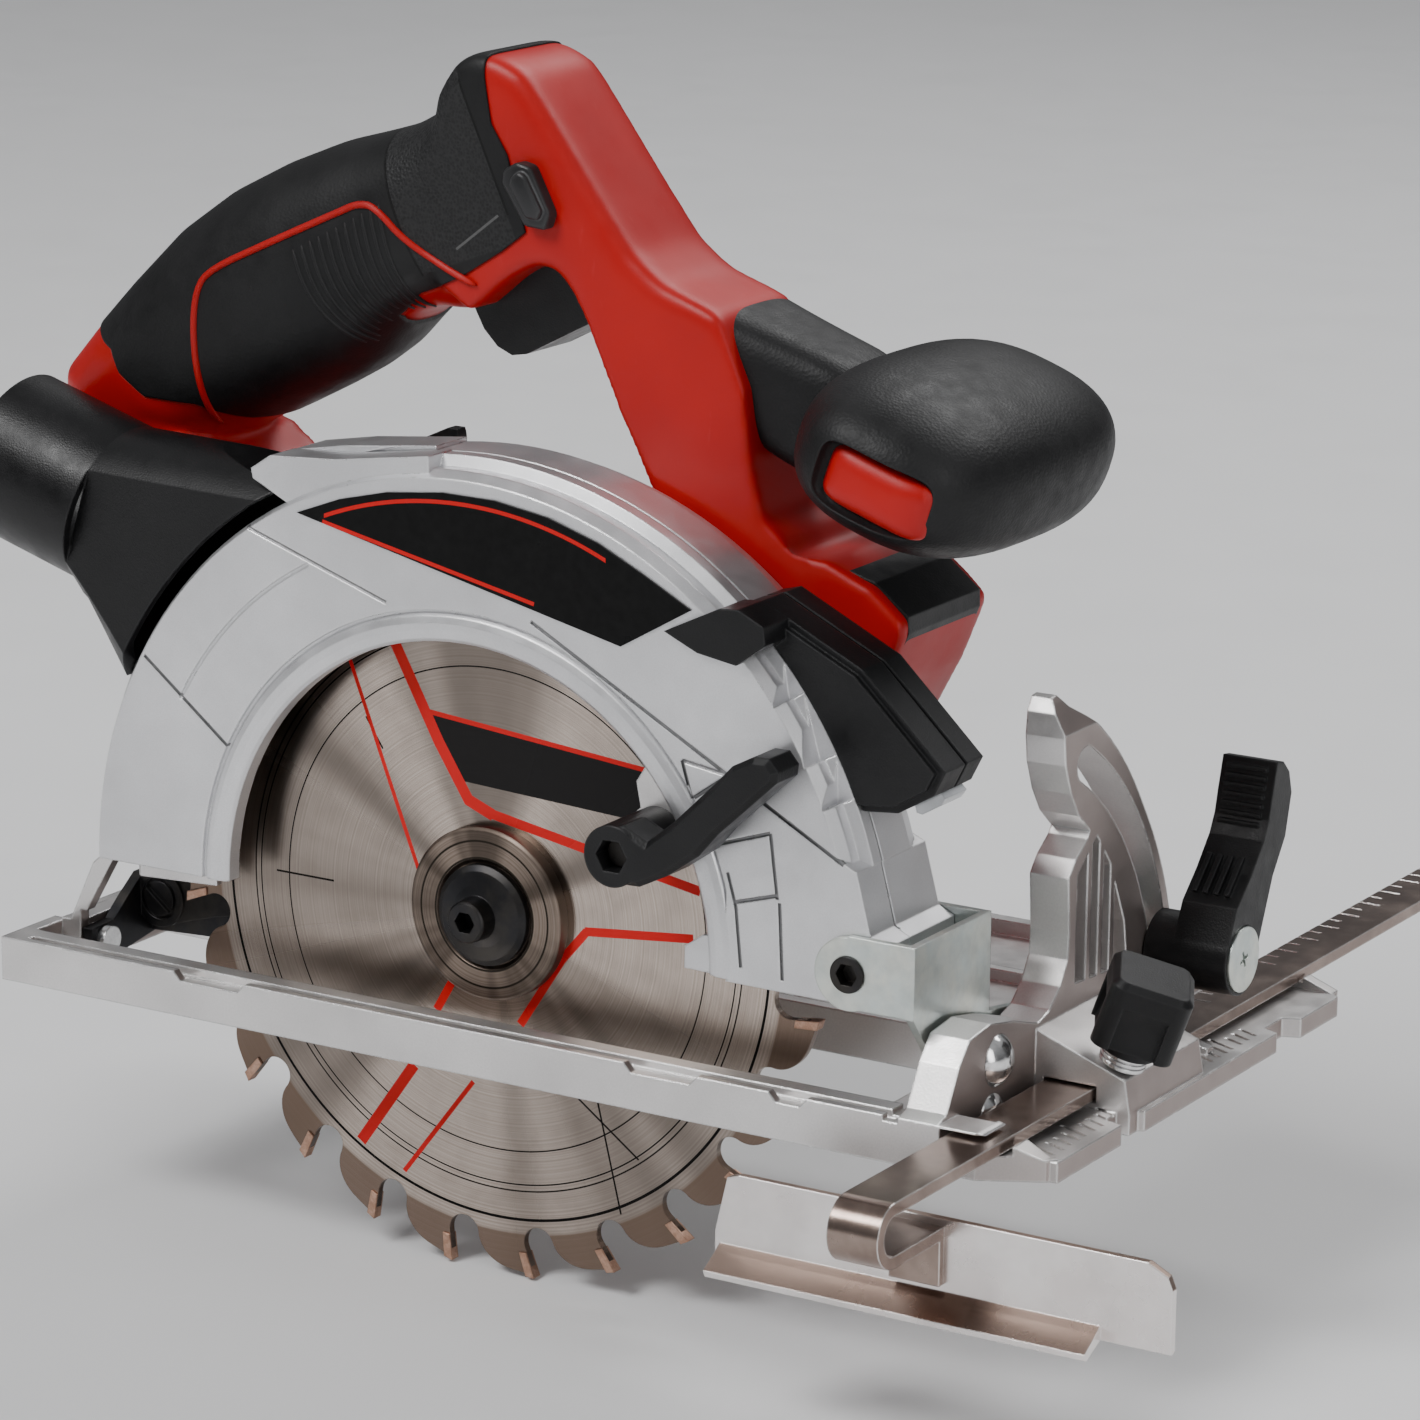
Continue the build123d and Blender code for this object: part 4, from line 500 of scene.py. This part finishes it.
def blade_metal():
    """Ground steel: dark lacquered tooth zone, printed rings, red lines and one blank black band."""
    s, body, radius = turned_metal("blade_ground", (0.42, 0.35, 0.30), (0.58, 0.50, 0.44), 0.22)
    x, y, z = s.xyz()
    rim = s.remap(radius, 65.6 * MM, 66.2 * MM, 0, 0.85)
    body = s.mix(rim, body, (0.17, 0.115, 0.085))
    rings = s.union([s.band(radius, 62.7, 63.3), s.band(radius, 56.95, 57.25), s.band(radius, 55.6, 55.9),
                     s.band(radius, 48.75, 49.05)])
    black = s.union([rings] + [s.stripe(x, z, *line) for line in BLACK_LINES])
    left = s.math("LESS_THAN", y, (-ORIGIN_Y - 0.3) * MM)
    plate = s.math("MULTIPLY", s.math("LESS_THAN", s.line(x, z, (-14.7, 65.1), 0.0876, 0.9962), 0.0),
                   s.math("GREATER_THAN", s.line(x, z, (-8.1, 52.3), 0.0477, 0.9989), 0.0))
    rear_end = s.math("GREATER_THAN", s.line(x, z, (-14.7, 65.1), 0.889, 0.458), 0.0)
    plate = s.math("MULTIPLY", plate, rear_end)
    plate = s.math("MULTIPLY", plate, s.math("LESS_THAN", x, 41 * MM))
    body = s.mix(s.math("MULTIPLY", s.union([black, plate]), left), body, (0.012, 0.011, 0.011))
    red = s.union([s.stripe(x, z, *line) for line in RED_LINES])
    printed = s.math("MULTIPLY", s.union([red, plate]), left)
    body = s.mix(s.math("MULTIPLY", red, left), body, (0.62, 0.015, 0.015))
    s.colour(body)
    s.tree.links.new(s.math("SUBTRACT", 1.0, s.math("MULTIPLY", printed, 0.9)), s.skin.inputs["Metallic"])
    tangent = s.node("ShaderNodeTangent", direction_type="RADIAL", axis="Y")
    s.join(tangent, 0, s.skin, "Tangent")
    s.put("Anisotropic", 0.8)
    s.put("Specular IOR Level", 0.12)
    return s.material


def label_material():
    """Glossy black foil with a thin red border line, no lettering."""
    s = Shader("label_foil")
    radius = radius_about(s, 0.0, BLADE_Z)[2]
    x, _, z = s.xyz()
    arc = s.math("MULTIPLY", s.band(radius, 83.1, 83.9), s.math("LESS_THAN", x, 33 * MM))
    arc = s.math("MULTIPLY", arc, s.math("GREATER_THAN", x, -31.5 * MM))
    low = s.stripe(x, z, (-31.9, 103.2), (17.0, 93.2), 0.4)
    speck = s.noise(420, 4)
    body = s.mix(s.remap(speck, 0.3, 0.7, 0, 1), (0.004, 0.004, 0.004), (0.007, 0.007, 0.007))
    s.colour(s.mix(s.union([arc, low]), body, (0.6, 0.012, 0.012)))
    s.rough(s.remap(s.noise(90, 4), 0.3, 0.7, 0.26, 0.40))
    s.put("Specular IOR Level", 0.1)
    s.bump(s.noise(900, 2), 0.000004, 0.3)
    return s.material


MATERIALS = {}


def build_materials():
    """Materials by slot, and by node where one piece of a slot looks different."""
    m = MATERIALS
    m["cast_aluminium"] = cast_metal("cast_sole", (0.82, 0.80, 0.79), 0.36, 2400, 0.00004, 0.0006, 0.8,
                                     shade=(0.30, 0.235, 0.215))
    m["guard_aluminium"] = cast_metal("satin_guard", (0.80, 0.80, 0.815), 0.42, 3600, 0.00003, 0.0005, 0.6,
                                      grooves=guard_grooves)
    m["zinc_steel"] = plated_steel("zinc_plate", (0.62, 0.68, 0.66), (0.74, 0.76, 0.70), 0.28)
    m["nickel_steel"] = plated_steel("nickel_plate", (0.50, 0.40, 0.35), (0.80, 0.76, 0.73), 0.16, 40)
    m["chrome_steel"] = plated_steel("chrome_dome", (0.78, 0.78, 0.78), (0.86, 0.86, 0.86), 0.08, 300)
    m["black_steel"] = plated_steel("black_oxide", (0.035, 0.035, 0.038), (0.06, 0.055, 0.05), 0.35)
    m["blade_steel"] = blade_metal()
    m["flange_steel"] = flange_metal()
    m["carbide"] = plated_steel("carbide_tip", (0.46, 0.27, 0.19), (0.62, 0.40, 0.30), 0.3, 600)
    m["copper"] = plated_steel("copper_wire", (0.72, 0.36, 0.2), (0.85, 0.5, 0.32), 0.25, 200)
    m["red_plastic"] = red_plastic()
    m["black_plastic"] = black_plastic("black_moulded", (0.007, 0.007, 0.0075), 0.38, 2600, 0.00005)
    m["grip_rubber"] = black_plastic("black_grip", (0.008, 0.008, 0.0085), 0.50, 1500, 0.00010)
    m["label_black"] = label_material()
    m["grip_cover"] = grip_cover()
    # bar and fence: the number after the patch scale is the strength of a painted edge highlight, and the
    # fence's last colour is painted shade on faces that look up
    m["guide_bar"] = plated_steel("bar_nickel", (0.26, 0.19, 0.16), (0.36, 0.28, 0.24), 0.16, 60, 0.9)
    m["guide_fence"] = plated_steel("fence_nickel", (0.86, 0.80, 0.78), (0.93, 0.90, 0.88), 0.22, 25, 0.8,
                                    (0.40, 0.27, 0.21))
    # the button's last number is the strength of its painted edge highlight
    m["button"] = black_plastic("black_button", (0.022, 0.022, 0.023), 0.34, 2600, 0.00003, 0.8)
    m["lens"] = black_plastic("lamp_clear", (0.75, 0.77, 0.8), 0.15, 900, 0.00002)
    m["board_green"] = black_plastic("board_mask", (0.02, 0.15, 0.07), 0.3, 1800, 0.00003)


def dress_nodes():
    for entry in frame["record"]["subparts"]:
        thing = bpy.data.objects.get(entry["node"])
        if thing is None:
            continue
        material = MATERIALS.get(entry["node"]) or MATERIALS[entry["material_slot"]]
        if not thing.material_slots:
            thing.data.materials.append(material)
        for holder in thing.material_slots:
            holder.material = material


# ---------------------------------------------------------------- mesh helpers
def new_object(name, mesh, body, slot, material=None, replaces=()):
    """A piece of the visual model that rides on a body and may stand for CAD nodes."""
    thing = linked(name, mesh)
    mesh.materials.append(material or MATERIALS[slot])
    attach(thing, body)
    if replaces:
        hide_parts(*replaces)
    return thing


def smooth(mesh, angle=None):
    for face in mesh.polygons:
        face.use_smooth = True
    if angle is not None:
        mesh.set_sharp_from_angle(angle=math.radians(angle))


def mesh_of(bm, name):
    bmesh.ops.recalc_face_normals(bm, faces=bm.faces)
    mesh = bpy.data.meshes.new(name)
    bm.to_mesh(mesh)
    bm.free()
    return mesh


def linked(name, mesh):
    thing = bpy.data.objects.new(name, mesh)
    bpy.context.scene.collection.objects.link(thing)
    return thing


def applied(mesh, *recipes, weight=None):
    """The mesh after a few modifiers, each given as (type, settings).

    weight gives each place its share in the vertex group "soft".
    """
    thing = linked("tmp", mesh)
    if weight:
        group = thing.vertex_groups.new(name="soft")
        for vertex in mesh.vertices:
            amount = weight(vertex.co)
            if amount > 0:
                group.add([vertex.index], amount, "REPLACE")
    for kind, settings in recipes:
        modifier = thing.modifiers.new(kind.lower(), kind)
        for key, value in settings.items():
            setattr(modifier, key, value)
    bpy.context.view_layer.update()
    depsgraph = bpy.context.evaluated_depsgraph_get()
    result = bpy.data.meshes.new_from_object(thing.evaluated_get(depsgraph))
    bpy.data.objects.remove(thing)
    return result


def add_loft(bm, rings):
    """Closed tube through rings of equal length, capped at both ends."""
    made = [[bm.verts.new(p) for p in ring] for ring in rings]
    count = len(made[0])
    for a, b in zip(made, made[1:]):
        for i in range(count):
            bm.faces.new((a[i], a[(i + 1) % count], b[(i + 1) % count], b[i]))
    bm.faces.new(made[0][::-1])
    bm.faces.new(made[-1])


def oval(centre, u, v, power, count=40):
    """Superellipse round a centre, reaching as far as the vectors u and v."""
    ring = []
    for i in range(count):
        t = 2 * math.pi * i / count
        c, s = math.cos(t), math.sin(t)
        ring.append(centre + u * math.copysign(abs(c) ** (2 / power), c)
                    + v * math.copysign(abs(s) ** (2 / power), s))
    return ring


def add_prism_y(bm, points, y0, y1):
    near = [bm.verts.new(at(x, y0, z)) for x, z in points]
    far = [bm.verts.new(at(x, y1, z)) for x, z in points]
    count = len(points)
    for i in range(count):
        bm.faces.new((near[i], near[(i + 1) % count], far[(i + 1) % count], far[i]))
    caps = [bm.faces.new(near[::-1]), bm.faces.new(far)]
    bmesh.ops.triangulate(bm, faces=caps)


def rounded_prism(points, y0, y1, rounding, segments, angle):
    """Prism along Y whose edges sharper than an angle in degrees are rounded."""
    bm = bmesh.new()
    add_prism_y(bm, points, y0, y1)
    return applied(mesh_of(bm, "block"),
                   ("BEVEL", {"width": rounding * MM, "segments": segments, "limit_method": "ANGLE",
                              "angle_limit": math.radians(angle)}))


def prism_object(name, points, y0, y1):
    bm = bmesh.new()
    add_prism_y(bm, points, y0, y1)
    return linked(name, mesh_of(bm, name))


def carved(mesh, cutter, operation="DIFFERENCE"):
    result = applied(mesh, ("BOOLEAN", {"object": cutter, "operation": operation, "solver": "EXACT"}))
    bpy.data.objects.remove(cutter)
    return result


# ---------------------------------------------------------------- handle
HANDLE_Y = 32.0           # middle plane of the handle
SHELL_NEAR = 15.2         # right face of the column and the lower housing
COLUMN_FAR = 44.0         # left face of the column
HOUSING_FAR = 48.8        # left face of the lower housing
VOXEL = 0.0009            # mesh size of the handle, in metres
ZONE_FAR = 70.0           # past the handle's left side
GRIP_STATIONS = (
    # top (x, z), bottom (x, z), half width, squareness
    ((-122.6, 113.0), (-104.0, 104.4), 13.0, 2.6),
    ((-121.6, 119.0), (-92.0, 104.6), 16.6, 2.7),
    ((-113.4, 128.0), (-82.6, 107.2), 19.0, 2.6),
    ((-103.0, 138.8), (-76.0, 110.8), 20.2, 2.5),
    ((-91.6, 150.0), (-67.0, 115.2), 20.7, 2.4),
    ((-79.6, 158.4), (-58.4, 119.6), 20.7, 2.4),
    ((-67.0, 164.8), (-50.2, 124.2), 20.2, 2.4),
    ((-54.6, 169.8), (-43.8, 128.8), 19.2, 2.4),
    ((-44.6, 172.6), (-39.2, 133.8), 18.0, 2.5),
    ((-36.0, 175.2), (-35.4, 137.6), 17.2, 2.6),
    ((-28.6, 179.2), (-30.0, 139.6), 16.2, 2.6),
    ((-23.4, 184.6), (-24.0, 139.6), 15.4, 2.6),
    ((-18.4, 190.0), (-16.4, 142.0), 14.6, 2.6),
    ((-11.0, 191.4), (-8.0, 149.0), 14.0, 2.6),
    ((-4.0, 187.6), (0.0, 152.4), 13.6, 2.7),
)
COLUMN = ((-25.0, 182.6), (-23.4, 185.0), (-20.2, 189.8), (-15.8, 192.0), (-11.0, 191.8), (-4.6, 189.2),
          (0.6, 182.6), (12.2, 167.2), (20.6, 156.4), (27.0, 151.4), (40.0, 146.8), (46.0, 133.0),
          (48.0, 118.3), (52.0, 104.0), (52.0, 92.0), (24.0, 92.0), (28.0, 100.4), (28.6, 104.0),
          (26.0, 110.6), (22.0, 118.6), (18.2, 125.4), (14.0, 134.8), (10.2, 142.6), (6.4, 148.6),
          (2.0, 152.0), (-2.4, 151.8), (-8.0, 148.6), (-16.6, 141.4), (-24.0, 146.0), (-26.0, 160.0))
HOUSING = ((46.0, 112.0), (54.4, 105.4), (57.0, 101.8), (64.2, 102.3), (71.1, 99.3), (74.4, 98.2),
           (81.2, 92.4), (81.3, 89.9), (76.8, 78.8), (70.0, 66.0), (48.0, 46.0), (22.0, 28.0), (0.0, 20.4),
           (-20.0, 21.0), (-33.0, 34.0), (-42.0, 62.0), (-60.0, 86.0), (-92.0, 99.0), (-104.0, 104.6),
           (-110.0, 107.2), (-118.0, 111.0), (-106.0, 116.0), (-92.0, 110.0), (-82.0, 107.4),
           (-76.6, 102.8), (-68.0, 98.5), (24.0, 98.5), (28.6, 103.0))
GRIP_ZONE = ((-113.5, 131.0), (-105.2, 126.4), (-102.5, 125.4), (-99.9, 120.9), (-93.6, 116.8),
             (-81.9, 116.3), (-77.7, 114.7), (-73.6, 113.0), (-68.3, 112.7), (-60.0, 106.0), (-40.0, 120.0),
             (-37.0, 138.0), (-30.2, 143.4), (-24.4, 145.6), (-18.0, 148.4), (-8.5, 154.4),
             (-3.0, 158.6), (-7.2, 173.1), (-11.0, 179.0), (-12.6, 188.0), (-13.4, 200.0), (-60.0, 200.0),
             (-140.0, 160.0))


def handle_form():
    """The whole outer form of the handle, column and lower housing as one soft closed mesh."""
    bm = bmesh.new()
    rings = []
    for top, bottom, half, power in GRIP_STATIONS:
        middle = HANDLE_Y - max(0.0, min(2.6, (top[0] + 40.0) * 0.1))
        a = at(top[0], middle, top[1])
        b = at(bottom[0], middle, bottom[1])
        up = (a - b) / 2
        rings.append(oval((a + b) / 2, Vector((0, half * MM, 0)), up, power))
    add_loft(bm, rings)
    form = mesh_of(bm, "grip")
    bm = bmesh.new()
    bm.from_mesh(form)
    for outline, far, rounding in ((COLUMN, COLUMN_FAR, 7.4), (HOUSING, HOUSING_FAR, 4.5)):
        bm.from_mesh(rounded_prism(outline, SHELL_NEAR, far, rounding, 6, 60))
    form = applied(mesh_of(bm, "form"), ("REMESH", {"mode": "VOXEL", "voxel_size": VOXEL}),
                   ("SMOOTH", {"factor": 0.5, "iterations": 10}))
    return applied(form, ("SMOOTH", {"factor": 0.5, "iterations": 70, "vertex_group": "soft"}),
                   weight=head_softness)


def head_softness(place):
    """1 over the head of the handle, fading out down the column and along the grip."""
    x, z = place.x / MM, place.z / MM
    return max(0.0, min(1.0, (z - 140.0) / 16.0)) * max(0.0, min(1.0, (x + 52.0) / 18.0))


PIPING = ((-79.0, 112.0), (-79.8, 130.9), (-79.1, 140.5), (-75.9, 144.5), (-61.1, 151.5), (-46.0, 158.6),
          (-42.0, 160.5), (-37.7, 160.5), (-30.2, 153.9), (-20.1, 149.2), (-14.0, 147.0))


RIBS = 11
RIB_PITCH = 1.9
GRAZING = 0.12            # skin that leans more than this shows no line


def skin_path(tree, points, side, lift, step):
    """Points along a polyline drawn on the handle as seen from one side, lifted off the skin."""
    path = []
    for a, b in zip(points, points[1:]):
        count = max(1, int(math.hypot(b[0] - a[0], b[1] - a[1]) / step))
        for i in range(count):
            t = i / count
            x, z = a[0] + (b[0] - a[0]) * t, a[1] + (b[1] - a[1]) * t
            start = at(x, HANDLE_Y + side * 60, z)
            hit, normal = tree.ray_cast(start, Vector((0, -side, 0)))[:2]
            if hit is not None and abs(normal.y) > GRAZING:
                path.append(hit + normal * lift * MM)
    return path


def add_tube(bm, path, radius, sides=8):
    """Thin bead along a path, thinner towards both ends."""
    rings = []
    for i, point in enumerate(path):
        ahead = path[min(i + 1, len(path) - 1)] - path[max(i - 1, 0)]
        u = ahead.cross(Vector((0, 1, 0))).normalized()
        v = ahead.cross(u).normalized()
        taper = min(1.0, 0.35 + 0.65 * min(i, len(path) - 1 - i) / 2)
        rings.append([point + (u * math.cos(t) + v * math.sin(t)) * radius * taper * MM
                      for t in (2 * math.pi * k / sides for k in range(sides))])
    add_loft(bm, rings)


def round_path(points, passes):
    """The polyline with its corners cut a few times."""
    for _ in range(passes):
        soft = [points[0]]
        for a, b in zip(points, points[1:]):
            soft.append((a[0] * 0.75 + b[0] * 0.25, a[1] * 0.75 + b[1] * 0.25))
            soft.append((a[0] * 0.25 + b[0] * 0.75, a[1] * 0.25 + b[1] * 0.75))
        points = soft + [points[-1]]
    return points


def make_handle():
    """Red shell, black cover, piping and ribs, all taken from one form."""
    form = handle_form()
    tree = BVHTree.FromPolygons([v.co for v in form.vertices], [tuple(f.vertices) for f in form.polygons])
    cover = applied(form, ("DISPLACE", {"strength": 0.0004, "mid_level": 0.0}))
    grip = carved(cover, prism_object("zone", GRIP_ZONE, 0, ZONE_FAR), "INTERSECT")
    red = carved(form.copy(), prism_object("zone", GRIP_ZONE, 0, ZONE_FAR))
    smooth(grip, 40)
    smooth(red, 40)
    new_object("handle_shell", red, "saw", "red_plastic", None, ("housing_right", "housing_left"))
    new_object("rear_grip", grip, "saw", "grip_rubber", MATERIALS["grip_cover"],
               ("rear_grip_right", "rear_grip_left"))
    bm = bmesh.new()
    for side in (-1, 1):
        add_tube(bm, skin_path(tree, round_path(PIPING, 2), side, 0.35, 1.0), 0.75)
    mesh = mesh_of(bm, "grip_piping")
    smooth(mesh)
    new_object("grip_piping", mesh, "saw", "red_plastic")
    bm = bmesh.new()
    for side in (-1, 1):
        for i in range(RIBS):
            lean = RIB_PITCH * i
            ridge = [(-56.0 + lean, 150.6 + 0.55 * lean), (-53.0 + lean, 143.0 + 0.3 * lean),
                     (-48.6 + lean, 136.6 + 0.1 * lean), (-43.6 + lean * 0.8, 131.6 + 0.1 * lean)]
            path = skin_path(tree, round_path(ridge, 2), side, 0.2, 1.0)
            if len(path) > 4:
                add_tube(bm, path, 0.55, 6)
    mesh = mesh_of(bm, "grip_ribs")
    smooth(mesh)
    new_object("grip_ribs", mesh, "saw", "grip_rubber")


BUTTON_STEPS = (
    # outline, near and far end, rounding
    (((-6.4, 170.9), (-3.4, 172.5), (-0.4, 171.8), (4.2, 163.0), (3.1, 159.8), (-1.8, 160.2),
      (-6.8, 167.8)), 12.2, 51.8, 0.8),
    (((-4.0, 169.7), (-2.2, 170.9), (-0.8, 170.2), (3.0, 163.6), (2.1, 161.8), (-0.8, 162.1),
      (-4.4, 167.9)), 11.0, 53.0, 0.7),
)


def make_button():
    """Lock-off button through the handle: a rounded plate with a raised pad at each end."""
    both = bmesh.new()
    for outline, near, far, rounding in BUTTON_STEPS:
        both.from_mesh(rounded_prism(outline, near, far, rounding, 4, 20))
    mesh = mesh_of(both, "lock_off_pads")
    smooth(mesh, 40)
    new_object("lock_off_pads", mesh, "lock_off_body", "black_plastic", MATERIALS["button"],
               ("lock_off_button",))


# ---------------------------------------------------------------- front handle
KNOB = (83.2, HANDLE_Y, 123.7)
KNOB_TILT = math.radians(19)
KNOB_SIZE = (23.2, 38.4, 16.0)
INLAY_SHIFT = (3.0, -1.4)    # along and across the tilted knob
POCKET_OUT = 39.5            # from the knob's middle to a pocket's middle
POCKET_SIZE = (12.6, 6.0, 6.8)
INLAY_OUT = 31.4
INLAY_SIZE = (11.9, 5.6, 6.1)


def superform(centre, u, v, n, size, power, rows=36, count=64):
    """Rounded block: superellipsoid with half sizes along u, v and n."""
    bm = bmesh.new()
    rings = []
    for k in range(1, rows):
        phi = math.pi * k / rows - math.pi / 2
        c, s = math.cos(phi), math.sin(phi)
        across = math.copysign(abs(s) ** (2 / power[1]), s)
        girth = abs(c) ** (2 / power[1])
        ring = []
        for i in range(count):
            t = 2 * math.pi * i / count
            a = math.copysign(abs(math.cos(t)) ** (2 / power[0]), math.cos(t))
            b = math.copysign(abs(math.sin(t)) ** (2 / power[0]), math.sin(t))
            ring.append(centre + (u * (a * girth * size[0]) + v * (across * size[1])
                                  + n * (b * girth * size[2])) * MM)
        rings.append(ring)
    add_loft(bm, rings)
    return mesh_of(bm, "form")


def make_knob():
    """Palm knob with a pocket and a red inlay at each end."""
    u = Vector((math.cos(KNOB_TILT), 0, -math.sin(KNOB_TILT)))
    v = Vector((0, 1, 0))
    n = Vector((math.sin(KNOB_TILT), 0, math.cos(KNOB_TILT)))
    centre = at(*KNOB)
    shift = u * INLAY_SHIFT[0] + n * INLAY_SHIFT[1]
    mesh = superform(centre, u, v, n, KNOB_SIZE, (2.5, 2.8))
    for side in (-1, 1):
        middle = centre + (v * side * POCKET_OUT + shift) * MM
        pocket = superform(middle, u, v, n, POCKET_SIZE, (5, 5), 20, 48)
        mesh = carved(mesh, linked("pocket", pocket))
    smooth(mesh, 38)
    new_object("palm_knob", mesh, "saw", "grip_rubber", None, ("front_knob",))
    both = bmesh.new()
    for side in (-1, 1):
        middle = centre + (v * side * INLAY_OUT + shift) * MM
        both.from_mesh(superform(middle, u, v, n, INLAY_SIZE, (5, 3), 20, 48))
    mesh = mesh_of(both, "knob_inlays")
    smooth(mesh, 60)
    new_object("knob_inlays", mesh, "saw", "red_plastic")


SCREW_HEAD = (
    # radius, height over the shell, sides (0 = round)
    (3.2, -0.6, 0), (3.2, 1.0, 0), (2.9, 1.5, 0), (2.2, 1.8, 0), (1.6, 1.8, 6), (1.55, 0.7, 6))
SHELL_SCREWS = (
    # x, z, face of the shell under the head
    (3.0, 171.0, 42.8), (32.0, 143.0, 42.8), (34.0, 116.0, 43.4), (66.0, 92.0, 48.4), (44.0, 56.0, 48.4),
    (-30.0, 84.0, 48.4))


def make_shell_screws():
    """Screws with a hexagon socket in the left shell."""
    bm = bmesh.new()
    for x, z, face in SHELL_SCREWS:
        rings = []
        for radius, height, sides in SCREW_HEAD:
            ring = []
            for i in range(36):
                t = 2 * math.pi * i / 36
                r = radius
                if sides:
                    half = math.pi / sides
                    r = radius * math.cos(half) / math.cos((t % (2 * half)) - half)
                ring.append(at(x + r * math.cos(t), face + height, z + r * math.sin(t)))
            rings.append(ring)
        add_loft(bm, rings)
    mesh = mesh_of(bm, "shell_screws")
    smooth(mesh, 30)
    new_object("shell_screws", mesh, "saw", "black_steel", None, ("housing_screws",))


NECK_STATIONS = (
    # top (x, z), bottom (x, z), half width
    ((30.5, 149.4), (34.0, 131.0), 14.6),
    ((33.0, 148.8), (36.5, 129.4), 14.6),
    ((38.0, 147.2), (40.0, 126.4), 14.4),
    ((46.0, 144.4), (45.0, 120.4), 13.6),
    ((58.0, 140.4), (56.0, 115.4), 12.6),
    ((70.0, 136.5), (69.0, 113.0), 12.0),
)


def make_neck():
    """Covered neck between the column and the palm knob."""
    bm = bmesh.new()
    rings = []
    for top, bottom, half in NECK_STATIONS:
        a = at(top[0], HANDLE_Y, top[1])
        b = at(bottom[0], HANDLE_Y, bottom[1])
        rings.append(oval((a + b) / 2, Vector((0, half * MM, 0)), (a - b) / 2, 4.2, 64))
    add_loft(bm, rings)
    mesh = applied(mesh_of(bm, "neck"), ("SUBSURF", {"levels": 2, "render_levels": 2}))
    smooth(mesh, 50)
    new_object("neck_cover", mesh, "saw", "grip_rubber", None, ("front_neck",))


SOFT_EDGES = {"trigger": 1.6, "front_shroud": 0.6, "bevel_lever": 0.8, "guard_lever": 0.9,
              "guide_knob": 0.7, "front_vent_cap": 1.0, "battery_dock": 1.2, "depth_lever": 0.8}


def soften_edges():
    for name, width in SOFT_EDGES.items():
        thing = bpy.data.objects.get(name)
        if thing is None:
            continue
        modifier = thing.modifiers.new("rounding", "BEVEL")
        modifier.width = width * MM
        modifier.segments = 3
        modifier.limit_method = "ANGLE"
        modifier.angle_limit = math.radians(32)
        modifier.use_clamp_overlap = True
        modifier.harden_normals = False


make_camera()
make_studio()
build_materials()
dress_nodes()
soften_edges()
make_handle()
make_button()
make_shell_screws()
make_neck()
make_knob()
